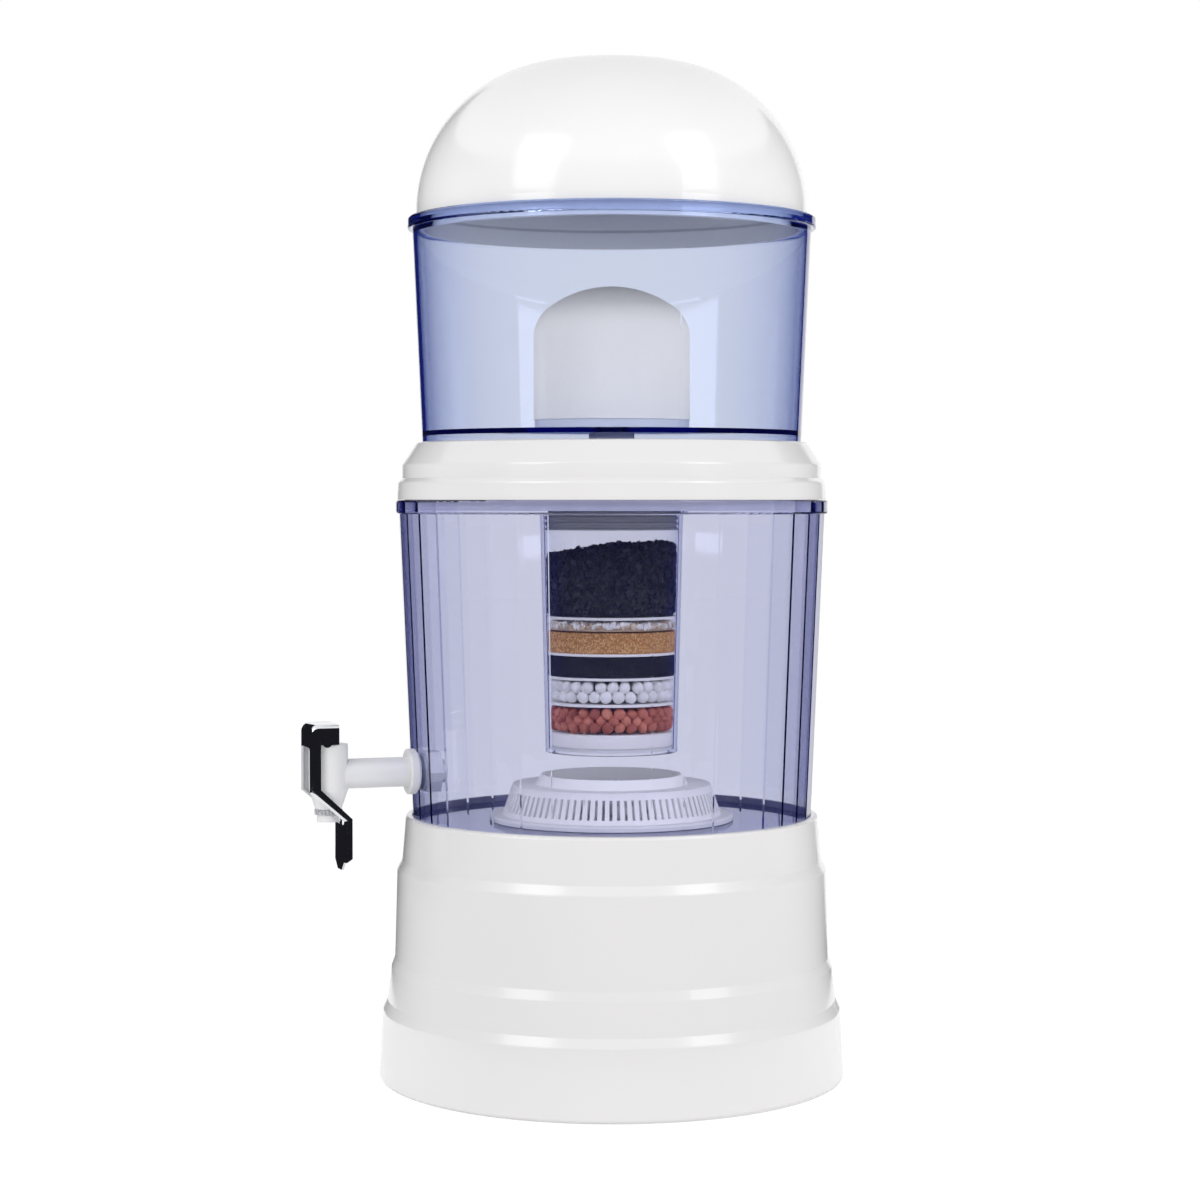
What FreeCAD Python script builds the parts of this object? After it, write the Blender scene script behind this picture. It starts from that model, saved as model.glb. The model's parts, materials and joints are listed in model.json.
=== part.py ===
import FreeCAD, Part
import math
import operator
import os
import Sketcher

# Gravity water filter with tap, in millimetres.
# Z is up, the origin is the centre of the stand on the floor, and the tap points to -Y.

sizes = {
    # stand: hollow stepped skirt with a recessed deck for the tank
    "stand_height": 152.6,
    "stand_foot_radius": 135.0,
    "low_step_height": 45.5,
    "low_step_outer": 132.7,
    "low_step_inner": 130.0,
    "mid_step_height": 70.0,
    "mid_step_outer": 127.8,
    "mid_step_inner": 125.8,
    "high_step_height": 126.5,
    "high_step_outer": 124.4,
    "high_step_inner": 121.5,
    "step_fall": 5.5,
    "stand_wall": 3.0,
    "stand_lip": 3.5,
    "stand_recess": 6.9,
    "deck_thickness": 3.0,
    "deck_lean": 1.4,
    "gusset_count": 12,
    "gusset_thickness": 2.4,
    "gusset_depth": 34.0,
    "gusset_reach": 30.0,
    "stand_rounding": 2.0,
    "step_root_rounding": 1.2,
    "foot_rounding": 2.4,
    # clearances
    "seat_gap": 0.3,
    "slip_gap": 0.5,
    "container_seat_gap": 0.8,
    "shaft_gap": 0.05,
    # lower tank: faceted tapered wall under a round rim
    "tank_height": 188.2,
    "tank_foot_radius": 115.4,
    "tank_top_radius": 123.4,
    "tank_wall": 2.5,
    "tank_floor": 3.0,
    "facet_count": 40,
    "tank_rim_height": 7.8,
    "tank_rim_radius": 124.8,
    "rim_rounding": 1.2,
    # cover between the tank and the upper container
    "cover_height": 32.9,
    "cover_foot_radius": 124.0,
    "cover_ledge_height": 9.7,
    "cover_ledge_radius": 123.4,
    "cover_neck_height": 12.2,
    "cover_neck_radius": 121.0,
    "cover_shoulder_height": 19.8,
    "cover_crown_width": 2.4,
    "cover_wall": 2.6,
    "cover_recess": 7.7,
    "cover_spigot_depth": 6.0,
    "cover_spigot_gap": 0.8,
    "cartridge_passage": 46.0,
    "cover_rounding": 1.8,
    # upper container
    "container_height": 136.0,
    "container_foot_radius": 109.2,
    "container_top_radius": 115.2,
    "container_wall": 2.6,
    "container_floor": 2.8,
    "container_floor_rise": 11.0,
    "container_rim_height": 6.5,
    "container_rim_radius": 117.6,
    "container_lip_radius": 110.8,
    # dome lid
    "lid_height": 91.0,
    "lid_lip_radius": 113.0,
    "lid_side_radius": 112.6,
    "lid_side_height": 3.8,
    "lid_shoulder": 85.0,
    "lid_wall": 2.6,
    "lid_skirt_depth": 8.0,
    "lid_skirt_wall": 2.4,
    # ceramic dome filter
    "ceramic_radius": 45.0,
    "ceramic_side_height": 47.5,
    "ceramic_height": 77.0,
    "ceramic_shoulder": 22.0,
    "ceramic_wall": 8.0,
    "ceramic_base_radius": 44.4,
    "ceramic_base_thickness": 5.0,
    "filter_stem_radius": 6.0,
    "filter_stem_drop": 20.0,
    "stem_washer_radius": 18.0,
    "stem_washer_thickness": 1.5,
    "stem_nut_radius": 13.5,
    "stem_nut_height": 6.0,
    # filter cartridge
    "cartridge_bottom_height": 39.6,
    "cartridge_height": 154.4,
    "cartridge_foot_radius": 38.0,
    "cartridge_top_radius": 41.7,
    "cartridge_wall": 2.6,
    "cartridge_lip": 1.7,
    "bed_gap": 0.25,
    "bed_headroom": 2.6,
    "grid_thickness": 1.7,
    "grid_hole_radius": 2.4,
    "grid_hole_circle": 24.0,
    "grid_hole_count": 16,
    "pad_thickness": 8.4,
    "red_bed_thickness": 15.9,
    "separator_thickness": 1.5,
    "white_bed_thickness": 13.6,
    "fine_carbon_thickness": 12.3,
    "sand_thickness": 12.8,
    "chip_thickness": 6.4,
    "carbon_thickness": 42.0,
    "carbon_heap": 5.0,
    "cap_plug_depth": 26.0,
    "cap_plug_wall": 2.4,
    "cap_flange_thickness": 2.6,
    "cap_boss_radius": 12.0,
    "cap_boss_gap": 0.6,
    # mineral stone case on the tank floor
    "case_foot_radius": 70.0,
    "case_foot_thickness": 3.0,
    "case_foot_chamfer": 1.0,
    "case_side_foot_radius": 63.0,
    "case_side_top_radius": 57.0,
    "case_side_height": 17.5,
    "case_crown_height": 5.5,
    "case_crown_radius": 44.0,
    "case_opening_radius": 38.5,
    "case_wall": 2.0,
    "case_slot_count": 90,
    "case_slot_width": 1.7,
    "case_slot_height": 11.0,
    "case_slot_lift": 2.6,
    "stone_bed_height": 10.0,
    # tap: horizontal stem through the tank wall, upright valve housing
    "tap_height": 34.5,
    "valve_reach": 168.8,
    "housing_radius": 11.0,
    "housing_top": 6.5,
    "housing_shoulder": 8.7,
    "housing_taper": 19.3,
    "housing_inset": 3.6,
    "nozzle_radius": 6.5,
    "nozzle_drop": 26.5,
    "nozzle_bore": 4.0,
    "ring_height": 3.3,
    "ring_radius": 7.9,
    "ring_sides": 24,
    "cavity_radius": 8.0,
    "cavity_floor": 12.0,
    "tap_stem_radius": 8.4,
    "tap_flange_radius": 12.9,
    "tap_flange_thickness": 3.8,
    "tap_thread_radius": 6.6,
    "tap_thread_end": 100.0,
    "water_bore": 4.6,
    "washer_thickness": 1.6,
    "outer_washer_gap": 0.55,
    "inner_washer_gap": 1.1,
    "outer_washer_radius": 11.0,
    "inner_washer_radius": 10.5,
    "wall_hole_gap": 0.3,
    "lock_nut_radius": 13.0,
    "lock_nut_length": 8.0,
    # bonnet, pin, valve stem and spring
    "bonnet_height": 10.5,
    "bonnet_roof": 4.0,
    "bonnet_bore": 7.0,
    "ear_inner": 7.0,
    "ear_outer": 9.8,
    "ear_radius": 3.4,
    "pivot_rise": 1.9,
    "pivot_lead": 3.8,
    "pin_radius": 1.5,
    "pin_head_radius": 2.8,
    "pin_head_thickness": 1.0,
    "rod_radius": 2.0,
    "rod_guide_gap": 0.3,
    "rod_head_radius": 3.0,
    "rod_head_height": 1.8,
    "rod_top_rise": 6.2,
    "plug_radius": 6.4,
    "plug_thickness": 5.0,
    "plug_socket": 3.0,
    "spring_inner": 4.2,
    "spring_outer": 5.4,
    # lever: bent channel that straddles the housing
    "lever_width": 25.0,
    "lever_sheet": 1.2,
    "lever_front": 13.2,
    "lever_top": 11.9,
    "lever_top_rounding": 5.0,
    "lever_back": 3.3,
    "lever_cap_gap": 0.5,
    "lever_arm_depth": 6.0,
    "lever_knee_drop": 28.0,
    "lever_foot_drop": 44.8,
    "lever_foot_front": 6.3,
    "lever_foot_depth": 4.4,
    "lever_flange_drop": 67.2,
    "lever_tip_drop": 72.6,
    "lever_tip_width": 9.0,
    "window_width": 20.0,
    "window_top_drop": 2.9,
    "window_foot_drop": 46.9,
    "finger_thickness": 1.0,
    "finger_width": 10.0,
    "finger_slot": 5.2,
    "finger_lift": 0.2,
    "finger_length": 5.0,
    "notch_width": 7.2,
    "notch_rise": 6.6,
}

doc = FreeCAD.newDocument("GravityWaterFilter")
sheet = doc.addObject("Spreadsheet::Sheet", "Sizes")
for row, (alias, number) in enumerate(sizes.items(), start=1):
    sheet.set("A%d" % row, alias.replace("_", " "))
    sheet.set("B%d" % row, repr(number))
    sheet.setAlias("B%d" % row, alias)
doc.recompute()

symbols = {"+": operator.add, "-": operator.sub, "*": operator.mul, "/": operator.truediv}


class Size:
    # a number with the sheet formula that gives it, so one sum sets both
    def __init__(self, value, formula):
        self.value = value
        self.formula = formula

    def __add__(self, other):
        return joined(self, "+", other)

    def __radd__(self, other):
        return joined(other, "+", self)

    def __sub__(self, other):
        return joined(self, "-", other)

    def __rsub__(self, other):
        return joined(other, "-", self)

    def __mul__(self, other):
        return joined(self, "*", other)

    def __rmul__(self, other):
        return joined(other, "*", self)

    def __truediv__(self, other):
        return joined(self, "/", other)

    def __neg__(self):
        return joined(0, "-", self)


def as_size(number):
    if isinstance(number, Size):
        return number
    return Size(float(number), repr(float(number)))


def joined(left, symbol, right):
    left = as_size(left)
    right = as_size(right)
    value = symbols[symbol](left.value, right.value)
    return Size(value, "(%s %s %s)" % (left.formula, symbol, right.formula))


def root(number):
    return Size(math.sqrt(number.value), "sqrt(%s)" % number.formula)


def smaller(one, other):
    return Size(min(one.value, other.value), "min(%s; %s)" % (one.formula, other.formula))


class Sheet:
    # each size in the sheet by its own name
    def __getattr__(self, alias):
        return Size(float(sizes[alias]), "Sizes." + alias)


size = Sheet()
nodes = []


def bind(thing, name, number):
    number = as_size(number)
    thing.setExpression(name, number.formula)


def keep(thing, node):
    thing.Label = node
    nodes.append(thing)
    return thing


def shift(thing, x=0, y=0, z=0):
    for axis, number in (("x", x), ("y", y), ("z", z)):
        if isinstance(number, Size):
            bind(thing, ".Placement.Base." + axis, number)


def new_body(node, y=0, z=0):
    body = doc.addObject("PartDesign::Body", node + "_body")
    shift(body, y=y, z=z)
    return keep(body, node)


def origin_feature(body, role):
    return [item for item in body.Origin.OriginFeatures if item.Role == role][0]


def new_sketch(body, plane):
    sketch = body.newObject("Sketcher::SketchObject", body.Label + "_sketch")
    sketch.AttachmentSupport = [(origin_feature(body, plane), "")]
    sketch.MapMode = "FlatFace"
    return sketch


def fix_point(sketch, element, end, x, y):
    # holds one end of an edge, or a circle's centre, at x and y
    for kind, axis, number in (("DistanceX", -2, x), ("DistanceY", -1, y)):
        number = as_size(number)
        if number.formula == "0.0":
            sketch.addConstraint(Sketcher.Constraint("PointOnObject", element, end, axis))
            continue
        index = sketch.addConstraint(Sketcher.Constraint(kind, -1, 1, element, end, number.value))
        bind(sketch, "Constraints[%d]" % index, number)


def arc_between(start, finish, radius):
    # a positive radius turns left on the way from start to finish
    chord = finish - start
    half = chord.Length / 2
    side = FreeCAD.Vector(-chord.y, chord.x, 0).normalize()
    rise = math.sqrt(radius * radius - half * half)
    centre = (start + finish) * 0.5 + side * rise * math.copysign(1, radius)
    first, last = (start, finish) if radius > 0 else (finish, start)
    angles = [math.atan2(end.y - centre.y, end.x - centre.x) for end in (first, last)]
    circle = Part.Circle(centre, FreeCAD.Vector(0, 0, 1), abs(radius))
    return Part.ArcOfCircle(circle, angles[0], angles[1])


def draw_outline(sketch, corners):
    # a corner is (x, y), or (x, y, radius) where an arc of that radius reaches it
    first = sketch.GeometryCount
    points = [FreeCAD.Vector(as_size(c[0]).value, as_size(c[1]).value, 0) for c in corners]
    starts = []
    for index, corner in enumerate(corners):
        target = corners[(index + 1) % len(corners)]
        start = points[index]
        finish = points[(index + 1) % len(points)]
        if len(target) == 3:
            radius = as_size(target[2])
            edge = sketch.addGeometry(arc_between(start, finish, radius.value), False)
            measure = radius if radius.value > 0 else -radius
            number = sketch.addConstraint(Sketcher.Constraint("Radius", edge, measure.value))
            bind(sketch, "Constraints[%d]" % number, measure)
            starts.append(1 if radius.value > 0 else 2)
        else:
            edge = sketch.addGeometry(Part.LineSegment(start, finish), False)
            starts.append(1)
    count = len(corners)
    for index in range(count):
        following = (index + 1) % count
        end = 3 - starts[index]
        sketch.addConstraint(Sketcher.Constraint(
            "Coincident", first + index, end, first + following, starts[following]))
    for index, corner in enumerate(corners):
        fix_point(sketch, first + index, starts[index], corner[0], corner[1])


def draw_circle(sketch, x, y, radius):
    radius = as_size(radius)
    centre = FreeCAD.Vector(as_size(x).value, as_size(y).value, 0)
    edge = sketch.addGeometry(Part.Circle(centre, FreeCAD.Vector(0, 0, 1), radius.value), False)
    fix_point(sketch, edge, 3, x, y)
    index = sketch.addConstraint(Sketcher.Constraint("Radius", edge, radius.value))
    bind(sketch, "Constraints[%d]" % index, radius)


def turn(body, corners, kind="Revolution", plane="XZ_Plane", axis="V_Axis"):
    # a full turn of an outline about an axis of its sketch
    sketch = new_sketch(body, plane)
    draw_outline(sketch, corners)
    feature = body.newObject("PartDesign::" + kind, body.Label + "_turn")
    feature.Profile = sketch
    feature.ReferenceAxis = (sketch, [axis])
    feature.Angle = 360
    doc.recompute()
    return feature


def turned(node, corners, y=0, z=0):
    body = new_body(node, y=y, z=z)
    turn(body, corners)
    return body


def extrude(body, kind, plane, width, draw):
    # a pad or pocket of the given whole width, half each side of an origin plane
    sketch = new_sketch(body, plane)
    draw(sketch)
    feature = body.newObject("PartDesign::" + kind, body.Label + "_" + kind.lower())
    feature.Profile = sketch
    feature.SideType = "Symmetric"
    bind(feature, "Length", width)
    doc.recompute()
    return feature


def repeat_around(body, feature, count):
    pattern = body.newObject("PartDesign::PolarPattern", body.Label + "_pattern")
    pattern.Originals = [feature]
    pattern.Axis = (origin_feature(body, "Z_Axis"), [""])
    pattern.Angle = 360
    bind(pattern, "Occurrences", count)
    body.Tip = pattern
    doc.recompute()


def round_edges(body, radius, places):
    # rounds the circles at the given radius and height in the body's own frame
    base = body.Tip
    shape = base.Shape
    names = []
    for number, edge in enumerate(shape.Edges, start=1):
        if not isinstance(edge.Curve, Part.Circle):
            continue
        ring = edge.Curve
        for ring_radius, height in places:
            near = abs(ring.Radius - as_size(ring_radius).value) < 0.01
            if near and abs(ring.Center.z - as_size(height).value) < 0.01:
                names.append("Edge%d" % number)
    fillet = body.newObject("PartDesign::Fillet", body.Label + "_rounding")
    fillet.Base = (base, names)
    bind(fillet, "Radius", radius)
    body.Tip = fillet
    doc.recompute()


def ring(inner, outer, low, high):
    return [(inner, low), (outer, low), (outer, high), (inner, high)]


def disc(radius, low, high):
    return [(0, low), (radius, low), (radius, high), (0, high)]


# Stand
deck_top = size.stand_height - size.stand_recess
deck_low = deck_top - size.deck_thickness
stand_mouth = size.tank_foot_radius + size.slip_gap
stand_rim = stand_mouth + size.stand_lip
wall = size.stand_wall
under_deck = size.high_step_inner - wall - size.deck_lean
foot_lean = size.stand_foot_radius - size.low_step_outer
# each step falls from its root to its edge
low_edge = size.low_step_height - size.step_fall
mid_edge = size.mid_step_height - size.step_fall
high_edge = size.high_step_height - size.step_fall


def build_stand():
    body = turned("base_stand", [
        (size.stand_foot_radius, 0),
        (size.low_step_outer, low_edge),
        (size.low_step_inner, size.low_step_height),
        (size.mid_step_outer, mid_edge),
        (size.mid_step_inner, size.mid_step_height),
        (size.high_step_outer, high_edge),
        (size.high_step_inner, size.high_step_height),
        (stand_rim, size.stand_height),
        (stand_mouth, size.stand_height),
        (stand_mouth, deck_top),
        (0, deck_top),
        (0, deck_low),
        (under_deck, deck_low),
        (size.high_step_inner - wall, size.high_step_height - wall / 2),
        (size.high_step_outer - wall, high_edge - wall / 2),
        (size.mid_step_inner - wall, size.mid_step_height - wall / 2),
        (size.mid_step_outer - wall, mid_edge - wall / 2),
        (size.low_step_inner - wall, size.low_step_height - wall / 2),
        (size.low_step_outer - wall, low_edge - wall / 2),
        (size.stand_foot_radius - wall, 0),
    ])
    round_edges(body, size.step_root_rounding, [
        (size.low_step_inner, size.low_step_height),
        (size.mid_step_inner, size.mid_step_height),
        (size.high_step_inner, size.high_step_height),
    ])
    round_edges(body, size.stand_rounding, [
        (size.low_step_outer, low_edge),
        (size.mid_step_outer, mid_edge),
        (size.high_step_outer, high_edge),
        (stand_rim, size.stand_height),
    ])
    side = root(foot_lean * foot_lean + low_edge * low_edge)
    foot_room = wall * (side - foot_lean) / low_edge
    round_edges(body, smaller(size.foot_rounding, foot_room * 0.9), [(size.stand_foot_radius, 0)])
    outer = under_deck + wall / 4
    gusset = extrude(body, "Pad", "XZ_Plane", size.gusset_thickness, lambda sketch: draw_outline(sketch, [
        (under_deck - size.gusset_reach, deck_low + wall / 4),
        (outer, deck_low + wall / 4),
        (outer, deck_low - size.gusset_depth),
    ]))
    repeat_around(body, gusset, size.gusset_count)


# Lower tank
tank_bottom = deck_top + size.seat_gap
tank_inside = tank_bottom + size.tank_floor
tank_top = tank_bottom + size.tank_height
facet_ratio = Size(math.cos(math.pi / sizes["facet_count"]), "cos(180 / Sizes.facet_count)")
tap_axis = tank_bottom + size.tap_height
wall_slope = (size.tank_top_radius - size.tank_foot_radius) / size.tank_height
wall_at_tap = size.tank_foot_radius + wall_slope * size.tap_height


def faceted_frustum(name, low_radius, low, top_radius, high):
    rings = []
    for label, radius, height in (("low", low_radius, low), ("top", top_radius, high)):
        polygon = doc.addObject("Part::RegularPolygon", name + "_" + label)
        bind(polygon, "Polygon", size.facet_count)
        bind(polygon, "Circumradius", radius)
        shift(polygon, z=height)
        rings.append(polygon)
    loft = doc.addObject("Part::Loft", name)
    loft.Sections = rings
    loft.Solid = True
    loft.Ruled = True
    return loft


def cylinder(name, radius, height, z=0, y=0):
    thing = doc.addObject("Part::Cylinder", name)
    bind(thing, "Radius", radius)
    bind(thing, "Height", height)
    shift(thing, y=y, z=z)
    return thing


def combined(kind, name, base, tool):
    thing = doc.addObject("Part::" + kind, name)
    thing.Base = base
    thing.Tool = tool
    return thing


def build_tank():
    outside = faceted_frustum(
        "tank_outside", size.tank_foot_radius, tank_bottom, size.tank_top_radius, tank_top)
    inside_low = size.tank_foot_radius + wall_slope * size.tank_floor - size.tank_wall
    inside = faceted_frustum(
        "tank_hollow", inside_low, tank_inside, size.tank_top_radius - size.tank_wall, tank_top)
    rim_low = tank_top - size.tank_rim_height
    rim = cylinder("tank_rim", size.tank_rim_radius, size.tank_rim_height, z=rim_low)
    rim_edge = doc.addObject("Part::Fillet", "tank_rim_edge")
    rim_edge.Base = rim
    doc.recompute()
    circles = [number for number, edge in enumerate(rim.Shape.Edges, start=1)
               if isinstance(edge.Curve, Part.Circle)]
    rounding = sizes["rim_rounding"]
    rim_edge.Edges = [(number, rounding, rounding) for number in circles]
    walls = combined("Fuse", "tank_walls", outside, rim_edge)
    shell = combined("Cut", "tank_shell", walls, inside)
    drill = cylinder("tap_drill", size.tap_thread_radius + size.wall_hole_gap, size.tank_foot_radius)
    drill.Placement = FreeCAD.Placement(
        FreeCAD.Vector(0, 0, 0), FreeCAD.Rotation(FreeCAD.Vector(1, 0, 0), 90))
    shift(drill, y=-size.tank_foot_radius / 2, z=tap_axis)
    keep(combined("Cut", "lower_tank_drilled", shell, drill), "lower_tank")


# Cover
cover_bottom = tank_top + size.seat_gap
cover_top = cover_bottom + size.cover_height
container_seat = cover_top - size.cover_recess
cover_mouth = size.container_foot_radius + size.container_seat_gap
crown_edge = cover_mouth + size.cover_crown_width


def build_cover():
    thick = size.cover_wall
    neck_high = cover_bottom + size.cover_shoulder_height
    spigot = (size.tank_top_radius - size.tank_wall) * facet_ratio - size.cover_spigot_gap
    inner = spigot - thick
    deck = container_seat - thick
    body = turned("tank_cover", [
        (size.cover_foot_radius, cover_bottom),
        (size.cover_ledge_radius, cover_bottom + size.cover_ledge_height),
        (size.cover_neck_radius, cover_bottom + size.cover_neck_height),
        (size.cover_neck_radius, neck_high),
        (crown_edge, cover_top),
        (cover_mouth, cover_top),
        (cover_mouth, container_seat),
        (size.cartridge_passage, container_seat),
        (size.cartridge_passage, deck),
        (inner - thick, deck),
        (inner, deck - thick),
        (inner, cover_bottom - size.cover_spigot_depth),
        (spigot, cover_bottom - size.cover_spigot_depth),
        (spigot, cover_bottom),
    ])
    round_edges(body, size.cover_rounding, [
        (size.cover_ledge_radius, cover_bottom + size.cover_ledge_height),
        (size.cover_neck_radius, neck_high),
        (crown_edge, cover_top),
    ])


# Upper container
container_bottom = container_seat + size.seat_gap
container_inside = container_bottom + size.container_floor_rise + size.container_floor
container_top = container_bottom + size.container_height
stem_hole = size.filter_stem_radius + size.wall_hole_gap


def build_container():
    thick = size.container_wall
    slope = (size.container_top_radius - size.container_foot_radius) / size.container_height
    floor_low = container_bottom + size.container_floor_rise
    rim_low = container_top - size.container_rim_height
    low_inner = size.container_foot_radius + slope * size.container_floor_rise - thick
    floor_inner = size.container_foot_radius + slope * (container_inside - container_bottom) - thick
    wall_end = size.container_top_radius - slope * size.container_rim_height
    body = turned("upper_container", [
        (size.container_foot_radius, container_bottom),
        (wall_end, rim_low),
        (size.container_rim_radius, rim_low),
        (size.container_rim_radius, container_top),
        (size.container_lip_radius, container_top),
        (size.container_lip_radius, container_top - thick),
        (wall_end - thick, rim_low - thick),
        (floor_inner, container_inside),
        (stem_hole, container_inside),
        (stem_hole, floor_low),
        (low_inner, floor_low),
        (size.container_foot_radius - thick, container_bottom),
    ])
    round_edges(body, size.rim_rounding, [
        (size.container_rim_radius, container_top),
        (size.container_rim_radius, rim_low),
    ])


# Domes: a side, a shoulder arc and a crown arc about the axis, tangent to each other
def crown_radius(side, side_top, shoulder, top):
    reach = side - shoulder
    drop = side_top - top
    return (shoulder * shoulder - reach * reach - drop * drop) / (2 * (drop + shoulder))


def dome_corners(side, side_top, shoulder, top, thick):
    # from the outer shoulder over the crown and back to the inner shoulder
    crown = crown_radius(side, side_top, shoulder, top)
    reach = side - shoulder
    rise = side_top - top + crown
    share = crown - shoulder
    inner_crown = crown - thick
    return [
        (side, side_top),
        (crown * reach / share, top - crown + crown * rise / share, shoulder),
        (0, top, crown),
        (0, top - thick),
        (inner_crown * reach / share, top - crown + inner_crown * rise / share, -inner_crown),
        (side - thick, side_top, -(shoulder - thick)),
    ]


# Lid
def build_lid():
    bottom = container_top + size.seat_gap
    skirt = size.container_lip_radius - size.slip_gap
    skirt_inner = skirt - size.lid_skirt_wall
    dome = dome_corners(
        size.lid_side_radius, bottom + size.lid_side_height, size.lid_shoulder,
        bottom + size.lid_height, size.lid_wall)
    body = turned("dome_lid", [(size.lid_lip_radius, bottom)] + dome + [
        (skirt_inner, bottom + size.lid_side_height / 2),
        (skirt_inner, bottom - size.lid_skirt_depth),
        (skirt, bottom - size.lid_skirt_depth),
        (skirt, bottom),
    ])
    return body


# Ceramic dome with its base, stem, washer and nut
base_low = container_inside + size.stem_washer_thickness
ceramic_low = base_low + size.ceramic_base_thickness
floor_under = container_bottom + size.container_floor_rise
nut_low = floor_under - size.stem_nut_height


def flat_sided_ring(node, radius, inner, height, sides=6):
    # a prism with flats, and the cylinder that bores it
    prism = doc.addObject("Part::Prism", node + "_prism")
    bind(prism, "Polygon", sides)
    bind(prism, "Circumradius", radius)
    bind(prism, "Height", height)
    bore = cylinder(node + "_bore", inner, height * 3)
    return prism, bore


def build_ceramic():
    dome = dome_corners(
        size.ceramic_radius, ceramic_low + size.ceramic_side_height, size.ceramic_shoulder,
        ceramic_low + size.ceramic_height, size.ceramic_wall)
    inner = size.ceramic_radius - size.ceramic_wall
    turned("ceramic_dome", [(size.ceramic_radius, ceramic_low)] + dome + [(inner, ceramic_low)])
    turned("ceramic_base", [
        (0, floor_under - size.filter_stem_drop),
        (size.filter_stem_radius, floor_under - size.filter_stem_drop),
        (size.filter_stem_radius, base_low),
        (size.ceramic_base_radius, base_low),
        (size.ceramic_base_radius, ceramic_low),
        (0, ceramic_low),
    ])
    washer_bore = size.filter_stem_radius + size.shaft_gap
    turned("stem_washer", ring(washer_bore, size.stem_washer_radius, container_inside, base_low))
    prism, bore = flat_sided_ring("stem_nut", size.stem_nut_radius, washer_bore, size.stem_nut_height)
    shift(prism, z=nut_low)
    shift(bore, z=nut_low - size.stem_nut_height)
    keep(combined("Cut", "stem_nut_cut", prism, bore), "stem_nut")


# Cartridge: clear tapered case, grid, stacked beds and cap
cartridge_low = tank_inside + size.cartridge_bottom_height
cartridge_high = cartridge_low + size.cartridge_height
cartridge_slope = (size.cartridge_top_radius - size.cartridge_foot_radius) / size.cartridge_height


def case_inner(height):
    return size.cartridge_foot_radius - size.cartridge_wall + cartridge_slope * (height - cartridge_low)


def build_cartridge():
    lip_high = cartridge_low + size.cartridge_lip
    turned("cartridge_case", [
        (case_inner(cartridge_low) - size.cartridge_wall, cartridge_low),
        (size.cartridge_foot_radius, cartridge_low),
        (size.cartridge_top_radius, cartridge_high),
        (case_inner(cartridge_high), cartridge_high),
        (case_inner(lip_high), lip_high),
        (case_inner(cartridge_low) - size.cartridge_wall, lip_high),
    ])
    grid_high = lip_high + size.grid_thickness
    grid = turned("cartridge_grid", disc(case_inner(lip_high) - size.bed_gap, lip_high, grid_high))
    hole = extrude(grid, "Pocket", "XY_Plane", grid_high * 3,
                   lambda sketch: draw_circle(sketch, size.grid_hole_circle, 0, size.grid_hole_radius))
    repeat_around(grid, hole, size.grid_hole_count)
    # the beds share the room between the grid and the cap, each by its own thickness
    beds = [
        ("outlet_pad", size.pad_thickness),
        ("red_ball_bed", size.red_bed_thickness),
        ("lower_separator", size.separator_thickness),
        ("white_ball_bed", size.white_bed_thickness),
        ("middle_separator", size.separator_thickness),
        ("fine_carbon_bed", size.fine_carbon_thickness),
        ("upper_separator", size.separator_thickness),
        ("sand_bed", size.sand_thickness),
        ("chip_bed", size.chip_thickness),
        ("top_separator", size.separator_thickness),
    ]
    stack = size.carbon_thickness
    for node, thickness in beds:
        stack = stack + thickness
    room = cartridge_high - size.cap_plug_depth - size.bed_headroom - size.carbon_heap - grid_high
    fill = room / stack
    low = grid_high
    for node, thickness in beds:
        high = low + thickness * fill
        turned(node, [
            (0, low),
            (case_inner(low) - size.bed_gap, low),
            (case_inner(high) - size.bed_gap, high),
            (0, high),
        ])
        low = high
    edge = low + size.carbon_thickness * fill
    turned("carbon_bed", [
        (0, low),
        (case_inner(low) - size.bed_gap, low),
        (case_inner(edge) - size.bed_gap, edge),
        (0, edge + size.carbon_heap),
    ])


def build_cartridge_cap():
    low = cartridge_high - size.cap_plug_depth
    plug = case_inner(low) - size.bed_gap
    flange_high = cartridge_high + size.cap_flange_thickness
    boss_high = nut_low - size.cap_boss_gap
    bore = size.filter_stem_radius + size.shaft_gap
    turned("cartridge_cap", [
        (plug - size.cap_plug_wall, low),
        (plug, low),
        (plug, cartridge_high),
        (size.cartridge_top_radius, cartridge_high),
        (size.cartridge_top_radius, flange_high),
        (size.cap_boss_radius, boss_high),
        (bore, boss_high),
        (bore, cartridge_high),
        (plug - size.cap_plug_wall, cartridge_high),
    ])


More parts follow.
